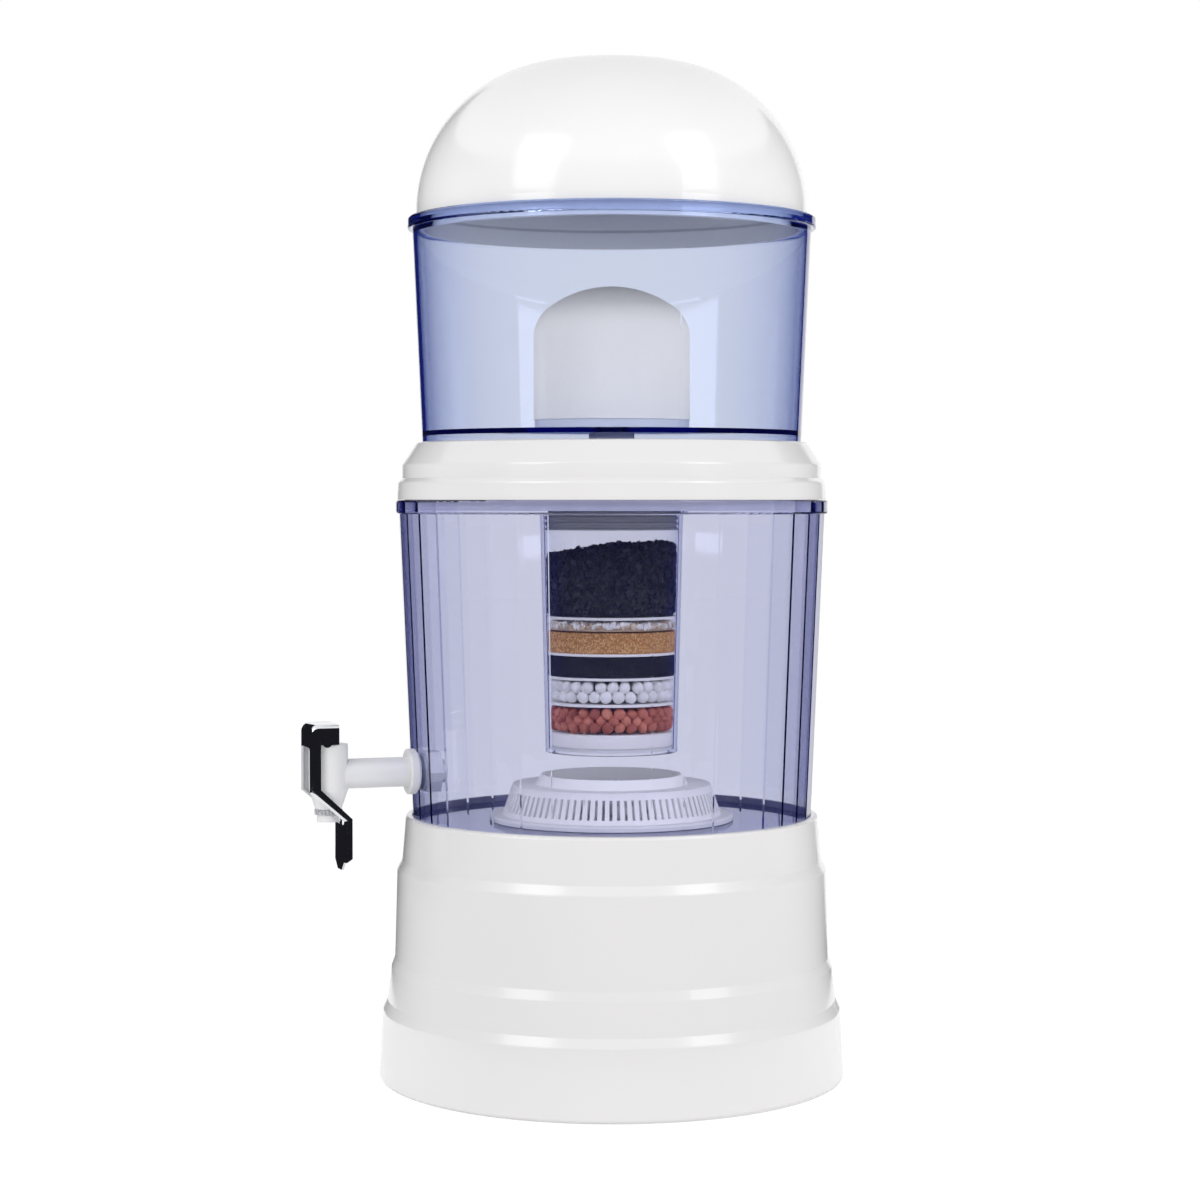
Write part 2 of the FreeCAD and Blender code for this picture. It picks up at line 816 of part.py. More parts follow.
# Mineral stone case
def build_mineral_case():
    low = tank_inside + size.seat_gap
    side_low = low + size.case_foot_thickness
    side_high = side_low + size.case_side_height
    crown_high = side_high + size.case_crown_height
    thick = size.case_wall
    turned("mineral_tray", [
        (0, low),
        (size.case_foot_radius, low),
        (size.case_foot_radius, side_low - size.case_foot_chamfer),
        (size.case_foot_radius - size.case_foot_chamfer, side_low),
        (0, side_low),
    ])
    cage = turned("mineral_cage", [
        (size.case_side_foot_radius - thick, side_low),
        (size.case_side_foot_radius, side_low),
        (size.case_side_top_radius, side_high),
        (size.case_crown_radius, side_high),
        (size.case_opening_radius + thick, crown_high),
        (size.case_opening_radius, crown_high),
        (size.case_opening_radius, side_high - thick),
        (size.case_side_top_radius - thick, side_high - thick),
    ])
    slot_low = side_low + size.case_slot_lift
    slot = extrude(cage, "Pocket", "XZ_Plane", size.case_slot_width, lambda sketch: draw_outline(sketch, [
        (size.case_side_top_radius - thick * 2.5, slot_low),
        (size.case_side_foot_radius + thick, slot_low),
        (size.case_side_foot_radius + thick, slot_low + size.case_slot_height),
        (size.case_side_top_radius - thick * 2.5, slot_low + size.case_slot_height),
    ]))
    repeat_around(cage, slot, size.case_slot_count)
    stone_radius = size.case_side_top_radius - thick - size.bed_gap
    turned("mineral_stones", disc(stone_radius, side_low, side_low + size.stone_bed_height))


# Tap: the housing's own frame has its origin on the valve axis at the stem's height
valve_y = -size.valve_reach
housing_foot = -size.nozzle_drop
bonnet_low = size.housing_top
bonnet_high = bonnet_low + size.bonnet_height
washer_face = size.valve_reach - wall_at_tap - size.outer_washer_gap
flange_back = washer_face - size.washer_thickness
flange_face = flange_back - size.tap_flange_thickness
thread_end = size.valve_reach - size.tap_thread_end
inner_face = size.valve_reach - (wall_at_tap - size.tank_wall) + size.inner_washer_gap


def build_tap_body():
    body = turned("tap_body", [
        (0, housing_foot),
        (size.nozzle_radius, housing_foot),
        (size.nozzle_radius, -size.housing_taper),
        (size.housing_radius - size.housing_inset, -size.housing_taper),
        (size.housing_radius, -size.housing_shoulder),
        (size.housing_radius, size.housing_top),
        (0, size.housing_top),
    ], y=valve_y, z=tap_axis)
    turn(body, [
        (0, 0),
        (0, size.tap_stem_radius),
        (flange_face, size.tap_stem_radius),
        (flange_face, size.tap_flange_radius),
        (flange_back, size.tap_flange_radius),
        (flange_back, size.tap_thread_radius),
        (thread_end, size.tap_thread_radius),
        (thread_end, 0),
    ], plane="YZ_Plane", axis="H_Axis")
    turn(body, disc(
        size.housing_radius + size.seat_gap, size.housing_top, size.housing_top + size.tap_stem_radius,
    ), kind="Groove")
    turn(body, [
        (0, -size.cavity_floor),
        (size.cavity_radius, -size.cavity_floor),
        (size.cavity_radius, size.housing_top),
        (0, size.housing_top),
    ], kind="Groove")
    turn(body, disc(size.nozzle_bore, housing_foot, -size.cavity_floor), kind="Groove")
    turn(body, [
        (0, 0),
        (0, size.water_bore),
        (thread_end, size.water_bore),
        (thread_end, 0),
    ], kind="Groove", plane="YZ_Plane", axis="H_Axis")


def lying_ring(node, inner, outer, start, length):
    # a ring about the tap's horizontal stem
    body = new_body(node, y=valve_y, z=tap_axis)
    turn(body, [
        (start, inner),
        (start, outer),
        (start + length, outer),
        (start + length, inner),
    ], plane="YZ_Plane", axis="H_Axis")
    return body


def build_tap_fittings():
    bore = size.tap_thread_radius + size.shaft_gap
    lying_ring("tap_outer_washer", bore, size.outer_washer_radius, flange_back, size.washer_thickness)
    lying_ring("tap_inner_washer", bore, size.inner_washer_radius, inner_face, size.washer_thickness)
    nut_start = inner_face + size.washer_thickness
    prism, hole = flat_sided_ring("tap_lock_nut", size.lock_nut_radius, bore, size.lock_nut_length)
    for thing in (prism, hole):
        thing.Placement = FreeCAD.Placement(
            FreeCAD.Vector(0, 0, 0), FreeCAD.Rotation(FreeCAD.Vector(1, 0, 0), -90))
    shift(prism, y=valve_y + nut_start, z=tap_axis)
    shift(hole, y=valve_y + nut_start - size.lock_nut_length, z=tap_axis)
    keep(combined("Cut", "tap_lock_nut_cut", prism, hole), "tap_lock_nut")
    ring_low = tap_axis - size.housing_taper - size.ring_height
    prism, hole = flat_sided_ring("spout_ring", size.ring_radius, size.nozzle_radius + size.shaft_gap,
                                  size.ring_height - size.shaft_gap, size.ring_sides)
    shift(prism, y=valve_y, z=ring_low)
    shift(hole, y=valve_y, z=ring_low - size.ring_height)
    keep(combined("Cut", "spout_ring_cut", prism, hole), "spout_ring")


# Bonnet with two ears for the lever's pin
pivot_y = -size.pivot_lead
pivot_z = bonnet_high + size.pivot_rise


def build_bonnet():
    roof_low = bonnet_high - size.bonnet_roof
    body = turned("tap_bonnet", [
        (size.bonnet_bore, bonnet_low),
        (size.housing_radius, bonnet_low),
        (size.housing_radius, bonnet_high),
        (0, bonnet_high),
        (0, roof_low),
        (size.bonnet_bore, roof_low),
    ], y=valve_y, z=tap_axis)
    ear_low = bonnet_high - size.bonnet_roof / 2

    def ear(sketch):
        draw_outline(sketch, [
            (pivot_y - size.ear_radius, ear_low),
            (pivot_y + size.ear_radius, ear_low),
            (pivot_y + size.ear_radius, pivot_z),
            (pivot_y - size.ear_radius, pivot_z, size.ear_radius * 1.0001),
        ])
        draw_circle(sketch, pivot_y, pivot_z, size.pin_radius)

    def gap(sketch):
        draw_outline(sketch, [
            (pivot_y - size.ear_radius * 1.5, bonnet_high),
            (pivot_y + size.ear_radius * 1.5, bonnet_high),
            (pivot_y + size.ear_radius * 1.5, pivot_z + size.ear_radius * 2),
            (pivot_y - size.ear_radius * 1.5, pivot_z + size.ear_radius * 2),
        ])

    extrude(body, "Pad", "YZ_Plane", size.ear_outer * 2, ear)
    extrude(body, "Pocket", "YZ_Plane", size.ear_inner * 2, gap)
    turn(body, disc(size.rod_radius + size.rod_guide_gap, roof_low, bonnet_high), kind="Groove")


def build_pin():
    body = new_body("pivot_pin", y=valve_y, z=tap_axis)
    head_in = size.lever_width / 2 + size.seat_gap
    shaft = head_in * 2
    extrude(body, "Pad", "YZ_Plane", shaft,
            lambda sketch: draw_circle(sketch, pivot_y, pivot_z, size.pin_radius))
    over_heads = shaft + size.pin_head_thickness * 2

    def band(sketch):
        draw_circle(sketch, pivot_y, pivot_z, size.pin_head_radius)

    def relief(sketch):
        draw_circle(sketch, pivot_y, pivot_z, size.pin_head_radius * 2)
        draw_circle(sketch, pivot_y, pivot_z, size.pin_radius)

    extrude(body, "Pad", "YZ_Plane", over_heads, band)
    extrude(body, "Pocket", "YZ_Plane", shaft, relief)


def build_valve():
    plug_low = size.seat_gap - size.cavity_floor
    plug_high = plug_low + size.plug_thickness
    head_high = bonnet_high + size.rod_top_rise
    head_low = head_high - size.rod_head_height
    turned("valve_stem", [
        (0, plug_high - size.plug_socket),
        (size.rod_radius, plug_high - size.plug_socket),
        (size.rod_radius, head_low),
        (size.rod_head_radius, head_low),
        (size.rod_head_radius, head_high),
        (0, head_high),
    ], y=valve_y, z=tap_axis)
    turned("valve_plug", [
        (0, plug_low),
        (size.plug_radius, plug_low),
        (size.plug_radius, plug_high),
        (size.rod_radius, plug_high),
        (size.rod_radius, plug_high - size.plug_socket),
        (0, plug_high - size.plug_socket),
    ], y=valve_y, z=tap_axis)
    roof = bonnet_high - size.bonnet_roof
    turned("valve_spring", ring(
        size.spring_inner, size.spring_outer, plug_high + size.seat_gap, roof), y=valve_y, z=tap_axis)


# Lever, in the housing's frame: the front lies towards -Y
def build_lever():
    body = new_body("tap_lever", y=valve_y, z=tap_axis)
    front = -size.lever_front
    top = bonnet_high + size.lever_top
    back = size.lever_back
    cap_low = bonnet_high + size.lever_cap_gap
    arm = front + size.lever_arm_depth
    knee = pivot_z - size.lever_knee_drop
    foot = pivot_z - size.lever_foot_drop
    foot_front = size.lever_foot_front
    foot_back = foot_front + size.lever_foot_depth
    flange_low = pivot_z - size.lever_flange_drop
    tip = pivot_z - size.lever_tip_drop
    bend = size.lever_top_rounding
    sheet_wall = size.lever_sheet
    slant = size.lever_foot_depth / 3

    def side(sketch):
        draw_outline(sketch, [
            (front, knee),
            (foot_front, foot),
            (foot_front, tip),
            (foot_front + sheet_wall, tip),
            (foot_front + sheet_wall, flange_low),
            (foot_back, flange_low + slant),
            (foot_back, foot + slant),
            (arm, knee + slant),
            (arm, cap_low),
            (back, cap_low),
            (back, top),
            (front + bend, top),
            (front, top - bend, bend),
        ])

    def hollow(sketch):
        far = foot_back + size.lever_arm_depth
        draw_outline(sketch, [
            (front + sheet_wall, knee + sheet_wall / 3),
            (foot_front + sheet_wall, foot + sheet_wall / 3),
            (foot_front + sheet_wall, tip - sheet_wall),
            (far, tip - sheet_wall),
            (far, cap_low - size.lever_cap_gap),
            (back - sheet_wall, cap_low - size.lever_cap_gap),
            (back - sheet_wall, top - sheet_wall),
            (front + bend, top - sheet_wall),
            (front + sheet_wall, top - bend, bend - sheet_wall),
        ])

    def window(sketch):
        high = pivot_z - size.window_top_drop
        low = pivot_z - size.window_foot_drop
        half = size.window_width / 2
        draw_outline(sketch, [(-half, low), (half, low), (half, high), (-half, high)])

    def tip_corner(sign):
        def draw(sketch):
            half = size.lever_width / 2 * sign
            corners = [
                (size.lever_tip_width / 2 * sign, tip - sheet_wall),
                (half * 1.5, tip - sheet_wall),
                (half * 1.5, flange_low - sheet_wall / 2),
                (half, flange_low - sheet_wall / 2),
                (size.lever_tip_width / 2 * sign, tip),
            ]
            draw_outline(sketch, corners)
        return draw

    def pin_hole(sketch):
        draw_circle(sketch, pivot_y, pivot_z, size.pin_radius + size.shaft_gap)

    def finger(sketch):
        low = pivot_z + size.finger_lift
        draw_outline(sketch, [
            (back - sheet_wall / 2 - size.finger_length, low),
            (back - sheet_wall / 2, low),
            (back - sheet_wall / 2, low + size.finger_thickness),
            (back - sheet_wall / 2 - size.finger_length, low + size.finger_thickness),
        ])

    def finger_gap(sketch):
        low = pivot_z + size.finger_lift - size.finger_thickness
        draw_outline(sketch, [
            (back - sheet_wall - size.finger_length * 2, low),
            (back - sheet_wall, low),
            (back - sheet_wall, low + size.finger_thickness * 3),
            (back - sheet_wall - size.finger_length * 2, low + size.finger_thickness * 3),
        ])

    def notch(sketch):
        # lets the stem's head past the cap's back wall
        draw_outline(sketch, [
            (back - sheet_wall * 2, cap_low - sheet_wall),
            (back + sheet_wall, cap_low - sheet_wall),
            (back + sheet_wall, pivot_z + size.notch_rise),
            (back - sheet_wall * 2, pivot_z + size.notch_rise),
        ])

    extrude(body, "Pad", "YZ_Plane", size.lever_width, side)
    extrude(body, "Pocket", "YZ_Plane", size.lever_width - sheet_wall * 2, hollow)
    deep = size.valve_reach
    extrude(body, "Pocket", "XZ_Plane", deep, window)
    extrude(body, "Pocket", "XZ_Plane", deep, tip_corner(1))
    extrude(body, "Pocket", "XZ_Plane", deep, tip_corner(-1))
    extrude(body, "Pad", "YZ_Plane", size.finger_width, finger)
    extrude(body, "Pocket", "YZ_Plane", size.finger_slot, finger_gap)
    extrude(body, "Pocket", "YZ_Plane", size.notch_width, notch)
    extrude(body, "Pocket", "YZ_Plane", size.lever_width * 2, pin_hole)


build_stand()
build_tank()
build_cover()
build_container()
build_lid()
build_ceramic()
build_cartridge()
build_cartridge_cap()
build_mineral_case()
build_tap_body()
build_tap_fittings()
build_bonnet()
build_pin()
build_valve()
build_lever()
doc.recompute()

# Every object has to have computed, and every piece has to be a valid solid
failed = [thing.Label for thing in doc.Objects if "Invalid" in thing.State or "Error" in thing.State]
if failed:
    raise RuntimeError("did not compute: " + ", ".join(failed))
for thing in nodes:
    if thing.Shape.isNull() or not thing.Shape.isValid():
        raise RuntimeError("%s has no valid shape" % thing.Label)

os.makedirs("parts", exist_ok=True)
for thing in nodes:
    thing.Shape.exportStep("parts/%s.step" % thing.Label)
    box = thing.Shape.BoundBox
    print("%-18s %d solid  %9.0f mm3  z %.1f to %.1f" % (
        thing.Label, len(thing.Shape.Solids), thing.Shape.Volume, box.ZMin, box.ZMax))
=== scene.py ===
# Gravity water filter with tap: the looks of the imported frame.
# Metres, Z up, origin at the centre of the stand's foot, tap towards -Y.
import bpy
import bmesh
import json
import math
import random
from mathutils import Matrix, Vector

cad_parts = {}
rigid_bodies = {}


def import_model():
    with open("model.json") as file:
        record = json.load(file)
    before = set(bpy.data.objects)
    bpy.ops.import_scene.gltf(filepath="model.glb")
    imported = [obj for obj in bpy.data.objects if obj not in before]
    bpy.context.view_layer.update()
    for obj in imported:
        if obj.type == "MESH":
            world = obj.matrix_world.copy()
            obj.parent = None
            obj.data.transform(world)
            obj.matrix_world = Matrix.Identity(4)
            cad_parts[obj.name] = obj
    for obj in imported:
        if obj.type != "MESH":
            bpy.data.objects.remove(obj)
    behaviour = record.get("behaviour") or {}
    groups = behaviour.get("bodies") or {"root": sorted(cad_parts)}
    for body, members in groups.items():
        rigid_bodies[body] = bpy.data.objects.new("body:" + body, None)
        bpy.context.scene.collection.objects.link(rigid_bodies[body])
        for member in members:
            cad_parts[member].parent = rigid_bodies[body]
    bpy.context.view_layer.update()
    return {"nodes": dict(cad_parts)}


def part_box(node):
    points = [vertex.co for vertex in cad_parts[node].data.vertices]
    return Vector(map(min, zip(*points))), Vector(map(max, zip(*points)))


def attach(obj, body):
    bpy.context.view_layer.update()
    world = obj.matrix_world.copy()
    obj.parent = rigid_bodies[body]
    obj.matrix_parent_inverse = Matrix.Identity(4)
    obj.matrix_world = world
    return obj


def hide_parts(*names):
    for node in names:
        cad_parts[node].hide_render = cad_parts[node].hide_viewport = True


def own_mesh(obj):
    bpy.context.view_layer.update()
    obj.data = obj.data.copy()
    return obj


for thing in list(bpy.data.objects):
    bpy.data.objects.remove(thing)
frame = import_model()
nodes = frame["nodes"]


class Wire:
    # an output of a node; sums on it become Math nodes
    def __init__(self, maker, socket):
        self.maker = maker
        self.socket = socket

    def combine(self, operation, first, second):
        return self.maker.node("ShaderNodeMath", {"operation": operation}, {0: first, 1: second})

    def __add__(self, other):
        return self.combine("ADD", self, other)

    def __radd__(self, other):
        return self.combine("ADD", other, self)

    def __sub__(self, other):
        return self.combine("SUBTRACT", self, other)

    def __rsub__(self, other):
        return self.combine("SUBTRACT", other, self)

    def __mul__(self, other):
        return self.combine("MULTIPLY", self, other)

    def __rmul__(self, other):
        return self.combine("MULTIPLY", other, self)

    def __rtruediv__(self, other):
        return self.combine("DIVIDE", other, self)

    def __pow__(self, other):
        return self.combine("POWER", self, other)


class NodeMaker:
    # makes nodes in one tree: the kind, its settings, then its sockets
    def __init__(self, tree):
        self.tree = tree

    def node(self, kind, settings=None, sockets=None, output=0):
        made = self.tree.nodes.new(kind)
        for key, value in (settings or {}).items():
            if key == "stops":
                fillRamp(made.color_ramp.elements, value)
            else:
                setattr(made, key, value)
        for key, value in (sockets or {}).items():
            if isinstance(value, Wire):
                self.tree.links.new(value.socket, made.inputs[key])
            else:
                made.inputs[key].default_value = value
        return Wire(self, made.outputs[output] if made.outputs else None)


def fillRamp(elements, stops):
    while len(elements) < len(stops):
        elements.new(0.5)
    for element, (place, tone) in zip(elements, stops):
        element.position = place
        element.color = opaque(tone)


def opaque(tone):
    return (*tone, 1.0)


class Finish(NodeMaker):
    # a material around one Principled shader
    def __init__(self, name, fixed):
        self.material = bpy.data.materials.new(name)
        self.material.use_nodes = True
        super().__init__(self.material.node_tree)
        self.tree.nodes.clear()
        shader = self.node("ShaderNodeBsdfPrincipled")
        self.shader = shader.socket.node
        self.node("ShaderNodeOutputMaterial", None, {"Surface": shader})
        for title, value in fixed.items():
            self.put(title, value)

    def put(self, title, value):
        socket = self.shader.inputs[title]
        if isinstance(value, Wire):
            self.tree.links.new(value.socket, socket)
        else:
            socket.default_value = value

    def place(self):
        return self.node("ShaderNodeTexCoord", None, None, "Object")

    def noise(self, scale, detail=2.0, roughness=0.5):
        return self.node("ShaderNodeTexNoise", None, {
            "Vector": self.place(), "Scale": scale, "Detail": detail, "Roughness": roughness})

    def cells(self, scale):
        return self.node("ShaderNodeTexVoronoi", None, {"Vector": self.place(), "Scale": scale}, "Distance")

    def ramp(self, amount, stops):
        return self.node("ShaderNodeValToRGB", {"stops": stops}, {"Fac": amount})

    def blend(self, amount, first, second):
        return self.node("ShaderNodeMix", {"data_type": "RGBA"}, {
            0: amount, 6: opaque(first), 7: opaque(second)}, 2)

    def bump(self, height, distance, strength):
        self.put("Normal", self.node("ShaderNodeBump", None, {
            "Strength": strength, "Distance": distance, "Height": height}))

    def output(self):
        return [n for n in self.tree.nodes if n.type == "OUTPUT_MATERIAL"][0]

    def absorb(self, colour, density):
        inside = self.node("ShaderNodeVolumeAbsorption", None, {"Color": opaque(colour), "Density": density})
        self.tree.links.new(inside.socket, self.output().inputs["Volume"])

    def mixIn(self, amount, other):
        # another shader, mixed over what the output shows so far
        surface = self.output().inputs["Surface"]
        shown = Wire(self, surface.links[0].from_socket)
        both = self.node("ShaderNodeMixShader", None, {0: amount, 1: shown, 2: other})
        self.tree.links.new(both.socket, surface)

    def passLamps(self, share):
        # lets this share of the lamps' light through to what stands behind
        clear = self.node("ShaderNodeBsdfTransparent")
        self.mixIn(share * self.node("ShaderNodeLightPath", None, None, "Is Shadow Ray"), clear)


# White mouldings: two close tones, how rough they are, and their clear coat
glossyLooks = {
    "whiteGloss": {"tones": ((0.765, 0.755, 0.755), (0.74, 0.73, 0.735)), "rough": 0.2, "coat": 0.25},
    "whiteLid": {"tones": ((0.835, 0.83, 0.83), (0.815, 0.81, 0.815)), "rough": 0.2, "coat": 0.25},
    "whiteFitting": {"tones": ((0.765, 0.765, 0.775), (0.74, 0.74, 0.755)), "rough": 0.32, "coat": 0.0},
}


def makeGlossy(name, look):
    # faint flow marks, a slightly uneven gloss and a fine skin
    finish = Finish(name, {"Coat Weight": look["coat"], "Coat Roughness": 0.08, "IOR": 1.48})
    finish.put("Base Color", finish.blend(finish.noise(9.0, 3.0), *look["tones"]))
    finish.put("Roughness", look["rough"] + 0.06 * (finish.noise(38.0, 3.0) - 0.5))
    finish.bump(finish.noise(420.0) + 6.0 * finish.noise(26.0, 1.0), 0.000012, 0.6)
    return finish


# Clear mouldings: tint and density of the wall's depth, the painted edge shade (colour where the wall is seen edge
# on, in place of its inner reflections and long light paths) and how sharply it sets in, a little haze, how much
# light is bent, and the clear coat
clearLooks = {
    "clearBlue": {"tint": (0.24, 0.43, 0.86), "density": 84.0, "edge": (0.50, 0.58, 0.80), "sharp": 2.0,
                  "haze": (0.02, 0.05, 0.50), "hazeShare": 0.015, "bend": 1.49, "coat": 0.0},
    "clearLavender": {"tint": (0.18, 0.24, 0.72), "density": 84.0, "edge": (0.14, 0.18, 0.62), "sharp": 4.0,
                      "haze": (0.02, 0.03, 0.42), "hazeShare": 0.015, "bend": 1.49, "coat": 0.0},
    "clearCase": {"tint": (0.40, 0.44, 0.70), "density": 14.0, "edge": (0.93, 0.94, 0.97), "sharp": 2.0,
                  "haze": (0.50, 0.52, 0.60), "hazeShare": 0.01, "bend": 1.03, "coat": 0.35},
}


def makeClear(name, look):
    finish = Finish(name, {"Transmission Weight": 1.0, "IOR": look["bend"], "Coat Weight": look["coat"]})
    # painted edge shade: the base colour turns to the edge tone where the wall is seen edge on
    facing = finish.node("ShaderNodeLayerWeight", None, {"Blend": 0.5}, "Facing")
    finish.put("Base Color", finish.blend(facing ** look["sharp"], (1.0, 1.0, 1.0), look["edge"]))
    finish.put("Roughness", 0.015 + 0.02 * finish.noise(30.0))
    finish.bump(finish.noise(14.0, 1.0), 0.00012, 0.25)
    finish.absorb(look["tint"], look["density"])
    haze = finish.node("ShaderNodeBsdfDiffuse", None, {"Color": opaque(look["haze"])})
    finish.mixIn(look["hazeShare"], haze)
    finish.passLamps(1.0)
    return finish


# Other finishes: the shader's own values, two close tones in patches (noise), roughness (least,
# swing, noise), skin (noise, depth, strength), pores, and the share of lamp light let through
mottledLooks = {
    "smokeCap": {"fixed": {"Transmission Weight": 0.35, "IOR": 1.49}, "patches": (60.0,),
                 "tones": ((0.50, 0.51, 0.54), (0.58, 0.59, 0.62)), "rough": (0.28, 0.1, 90.0)},
    "ceramicMatt": {"fixed": {"IOR": 1.45}, "patches": (22.0, 4.0),
                    "tones": ((0.975, 0.915, 0.80), (0.95, 0.885, 0.77)), "rough": (0.72, 0.12, 300.0),
                    "skin": ((1500.0,), 0.00012, 0.55), "pores": 900.0},
    "whiteFelt": {"fixed": {"Sheen Weight": 0.25}, "patches": (1400.0, 4.0, 0.7),
                  "tones": ((0.97, 0.95, 0.92), (0.92, 0.90, 0.87)), "rough": (0.85, 0.1, 1400.0, 4.0, 0.7),
                  "skin": ((1400.0, 4.0, 0.7), 0.0003, 0.7)},
    "milkyCase": {"fixed": {"Transmission Weight": 0.12, "IOR": 1.47}, "patches": (30.0,),
                  "tones": ((0.97, 0.96, 0.94), (0.95, 0.94, 0.92)), "rough": (0.42, 0.12, 200.0),
                  "skin": ((500.0,), 0.00002, 0.6), "lampShare": 0.75},
    "frostedRing": {"fixed": {"Transmission Weight": 0.55, "IOR": 1.47}, "patches": (200.0,),
                    "tones": ((0.86, 0.87, 0.89), (0.80, 0.81, 0.84)), "rough": (0.3, 0.1, 500.0)},
    "chromePlate": {"fixed": {"Metallic": 1.0}, "patches": (40.0,),
                    "tones": ((0.80, 0.81, 0.83), (0.74, 0.75, 0.77)), "rough": (0.07, 0.07, 160.0, 4.0),
                    "skin": ((60.0,), 0.00004, 0.4)},
    "springSteel": {"fixed": {"Metallic": 1.0}, "patches": (80.0,),
                    "tones": ((0.56, 0.57, 0.58), (0.46, 0.47, 0.48)), "rough": (0.24, 0.12, 600.0)},
    "siliconeRubber": {"fixed": {"IOR": 1.42, "Subsurface Weight": 0.2, "Subsurface Scale": 0.002},
                       "patches": (120.0,), "tones": ((0.70, 0.72, 0.74), (0.62, 0.64, 0.67)),
                       "rough": (0.5, 0.15, 400.0)},
}


def makeMottled(name, look):
    finish = Finish(name, look["fixed"])
    finish.put("Base Color", finish.blend(finish.noise(*look["patches"]), *look["tones"]))
    least, swing, *grain = look["rough"]
    finish.put("Roughness", least + swing * finish.noise(*grain))
    if "skin" in look:
        grain, depth, strength = look["skin"]
        height = finish.noise(*grain)
        if "pores" in look:
            height = finish.cells(look["pores"]) + height
        finish.bump(height, depth, strength)
    if "lampShare" in look:
        finish.passLamps(look["lampShare"])
    return finish


# Loose grains: stops of tone, how rough they are, and the scale and depth of the grit on them
grainLooks = {
    "carbonGranules": {"rough": 0.42, "grit": 900.0, "depth": 0.0004, "stops": [
        (0.0, (0.006, 0.006, 0.007)), (0.7, (0.02, 0.02, 0.022)), (1.0, (0.06, 0.06, 0.065))]},
    "fineCarbon": {"rough": 0.55, "grit": 2500.0, "depth": 0.0002, "stops": [
        (0.0, (0.004, 0.004, 0.005)), (0.8, (0.015, 0.015, 0.018)), (1.0, (0.05, 0.05, 0.055))]},
    "sandGrains": {"rough": 0.7, "grit": 2500.0, "depth": 0.0002, "stops": [
        (0.0, (0.42, 0.19, 0.06)), (0.5, (0.74, 0.38, 0.12)), (1.0, (0.95, 0.66, 0.30))]},
    "stoneChips": {"rough": 0.55, "grit": 700.0, "depth": 0.0003, "stops": [
        (0.0, (0.44, 0.30, 0.18)), (0.35, (0.70, 0.58, 0.44)), (0.5, (0.93, 0.90, 0.88)),
        (1.0, (0.97, 0.96, 0.95))]},
    "whiteBalls": {"rough": 0.45, "grit": 500.0, "depth": 0.0001, "stops": [
        (0.0, (0.84, 0.83, 0.81)), (1.0, (0.96, 0.95, 0.93))]},
    "redBalls": {"rough": 0.6, "grit": 600.0, "depth": 0.0002, "stops": [
        (0.0, (0.32, 0.075, 0.045)), (0.5, (0.52, 0.15, 0.09)), (1.0, (0.70, 0.26, 0.16))]},
    "greyStones": {"rough": 0.6, "grit": 400.0, "depth": 0.0004, "stops": [
        (0.0, (0.46, 0.46, 0.47)), (0.6, (0.66, 0.66, 0.66)), (1.0, (0.80, 0.79, 0.77))]},
}


def makeGrainy(name, look):
    # a tone for each grain, and pits on it
    finish = Finish(name, {"Roughness": look["rough"]})
    tone = finish.node("ShaderNodeAttribute", {"attribute_name": "grain"}, None, "Fac")
    speckle = finish.noise(look["grit"], 3.0, 0.65)
    finish.put("Base Color", finish.ramp(tone * 0.8 + 0.4 * (speckle - 0.25), look["stops"]))
    finish.bump(speckle, look["depth"], 0.8)
    return finish


finishes = {}
for makeFinish, finishLooks in ((makeGlossy, glossyLooks), (makeClear, clearLooks),
                                (makeMottled, mottledLooks), (makeGrainy, grainLooks)):
    for finishName, finishLook in finishLooks.items():
        finishes[finishName] = makeFinish(finishName, finishLook).material
print("finishes:", len(finishes))

# The CAD pieces that stay, by finish
dressed = {
    "whiteGloss": ["base_stand", "tank_cover"],
    "whiteLid": ["dome_lid"],
    "clearLavender": ["lower_tank"],
    "clearBlue": ["upper_container"],
    "ceramicMatt": ["ceramic_dome"],
    "whiteFitting": ["ceramic_base", "stem_nut", "cartridge_grid", "tap_body", "tap_lock_nut",
                     "tap_bonnet", "valve_stem"],
    "clearCase": ["cartridge_case"],
    "whiteFelt": ["lower_separator", "middle_separator", "upper_separator", "top_separator"],
    "milkyCase": ["mineral_tray", "mineral_cage"],
    "siliconeRubber": ["stem_washer", "tap_outer_washer", "tap_inner_washer", "valve_plug"],
    "chromePlate": ["pivot_pin"],
}
for finishName, members in dressed.items():
    for member in members:
        for materialSlot in nodes[member].material_slots:
            materialSlot.material = finishes[finishName]
print("CAD pieces dressed:", sum(len(members) for members in dressed.values()))


def addObject(name, mesh):
    made = bpy.data.objects.new(name, mesh)
    bpy.context.scene.collection.objects.link(made)
    return made


def meshFrom(bm, name):
    mesh = bpy.data.meshes.new(name)
    bmesh.ops.recalc_face_normals(bm, faces=bm.faces)
    bm.to_mesh(mesh)
    bm.free()
    return mesh


def smooth(mesh, degrees=35):
    for face in mesh.polygons:
        face.use_smooth = True
    mesh.set_sharp_from_angle(angle=math.radians(degrees))
    return mesh


def lathe(name, outline, steps, degrees=35):
    # turns a closed outline of (radius, height) points about the Z axis
    bm = bmesh.new()
    turns = [2 * math.pi * k / steps for k in range(steps)]
    rings = [[bm.verts.new((radius * math.cos(turn), radius * math.sin(turn), height))
              for turn in (turns if radius > 1e-7 else turns[:1])] for radius, height in outline]
    for first, second in zip(rings, rings[1:] + rings[:1]):
        if len(first) == 1 and len(second) == 1:
            continue
        for k in range(steps):
            corners = [first[k % len(first)], first[(k + 1) % len(first)],
                       second[(k + 1) % len(second)], second[k % len(second)]]
            bm.faces.new(list(dict.fromkeys(corners)))
    return smooth(meshFrom(bm, name), degrees)


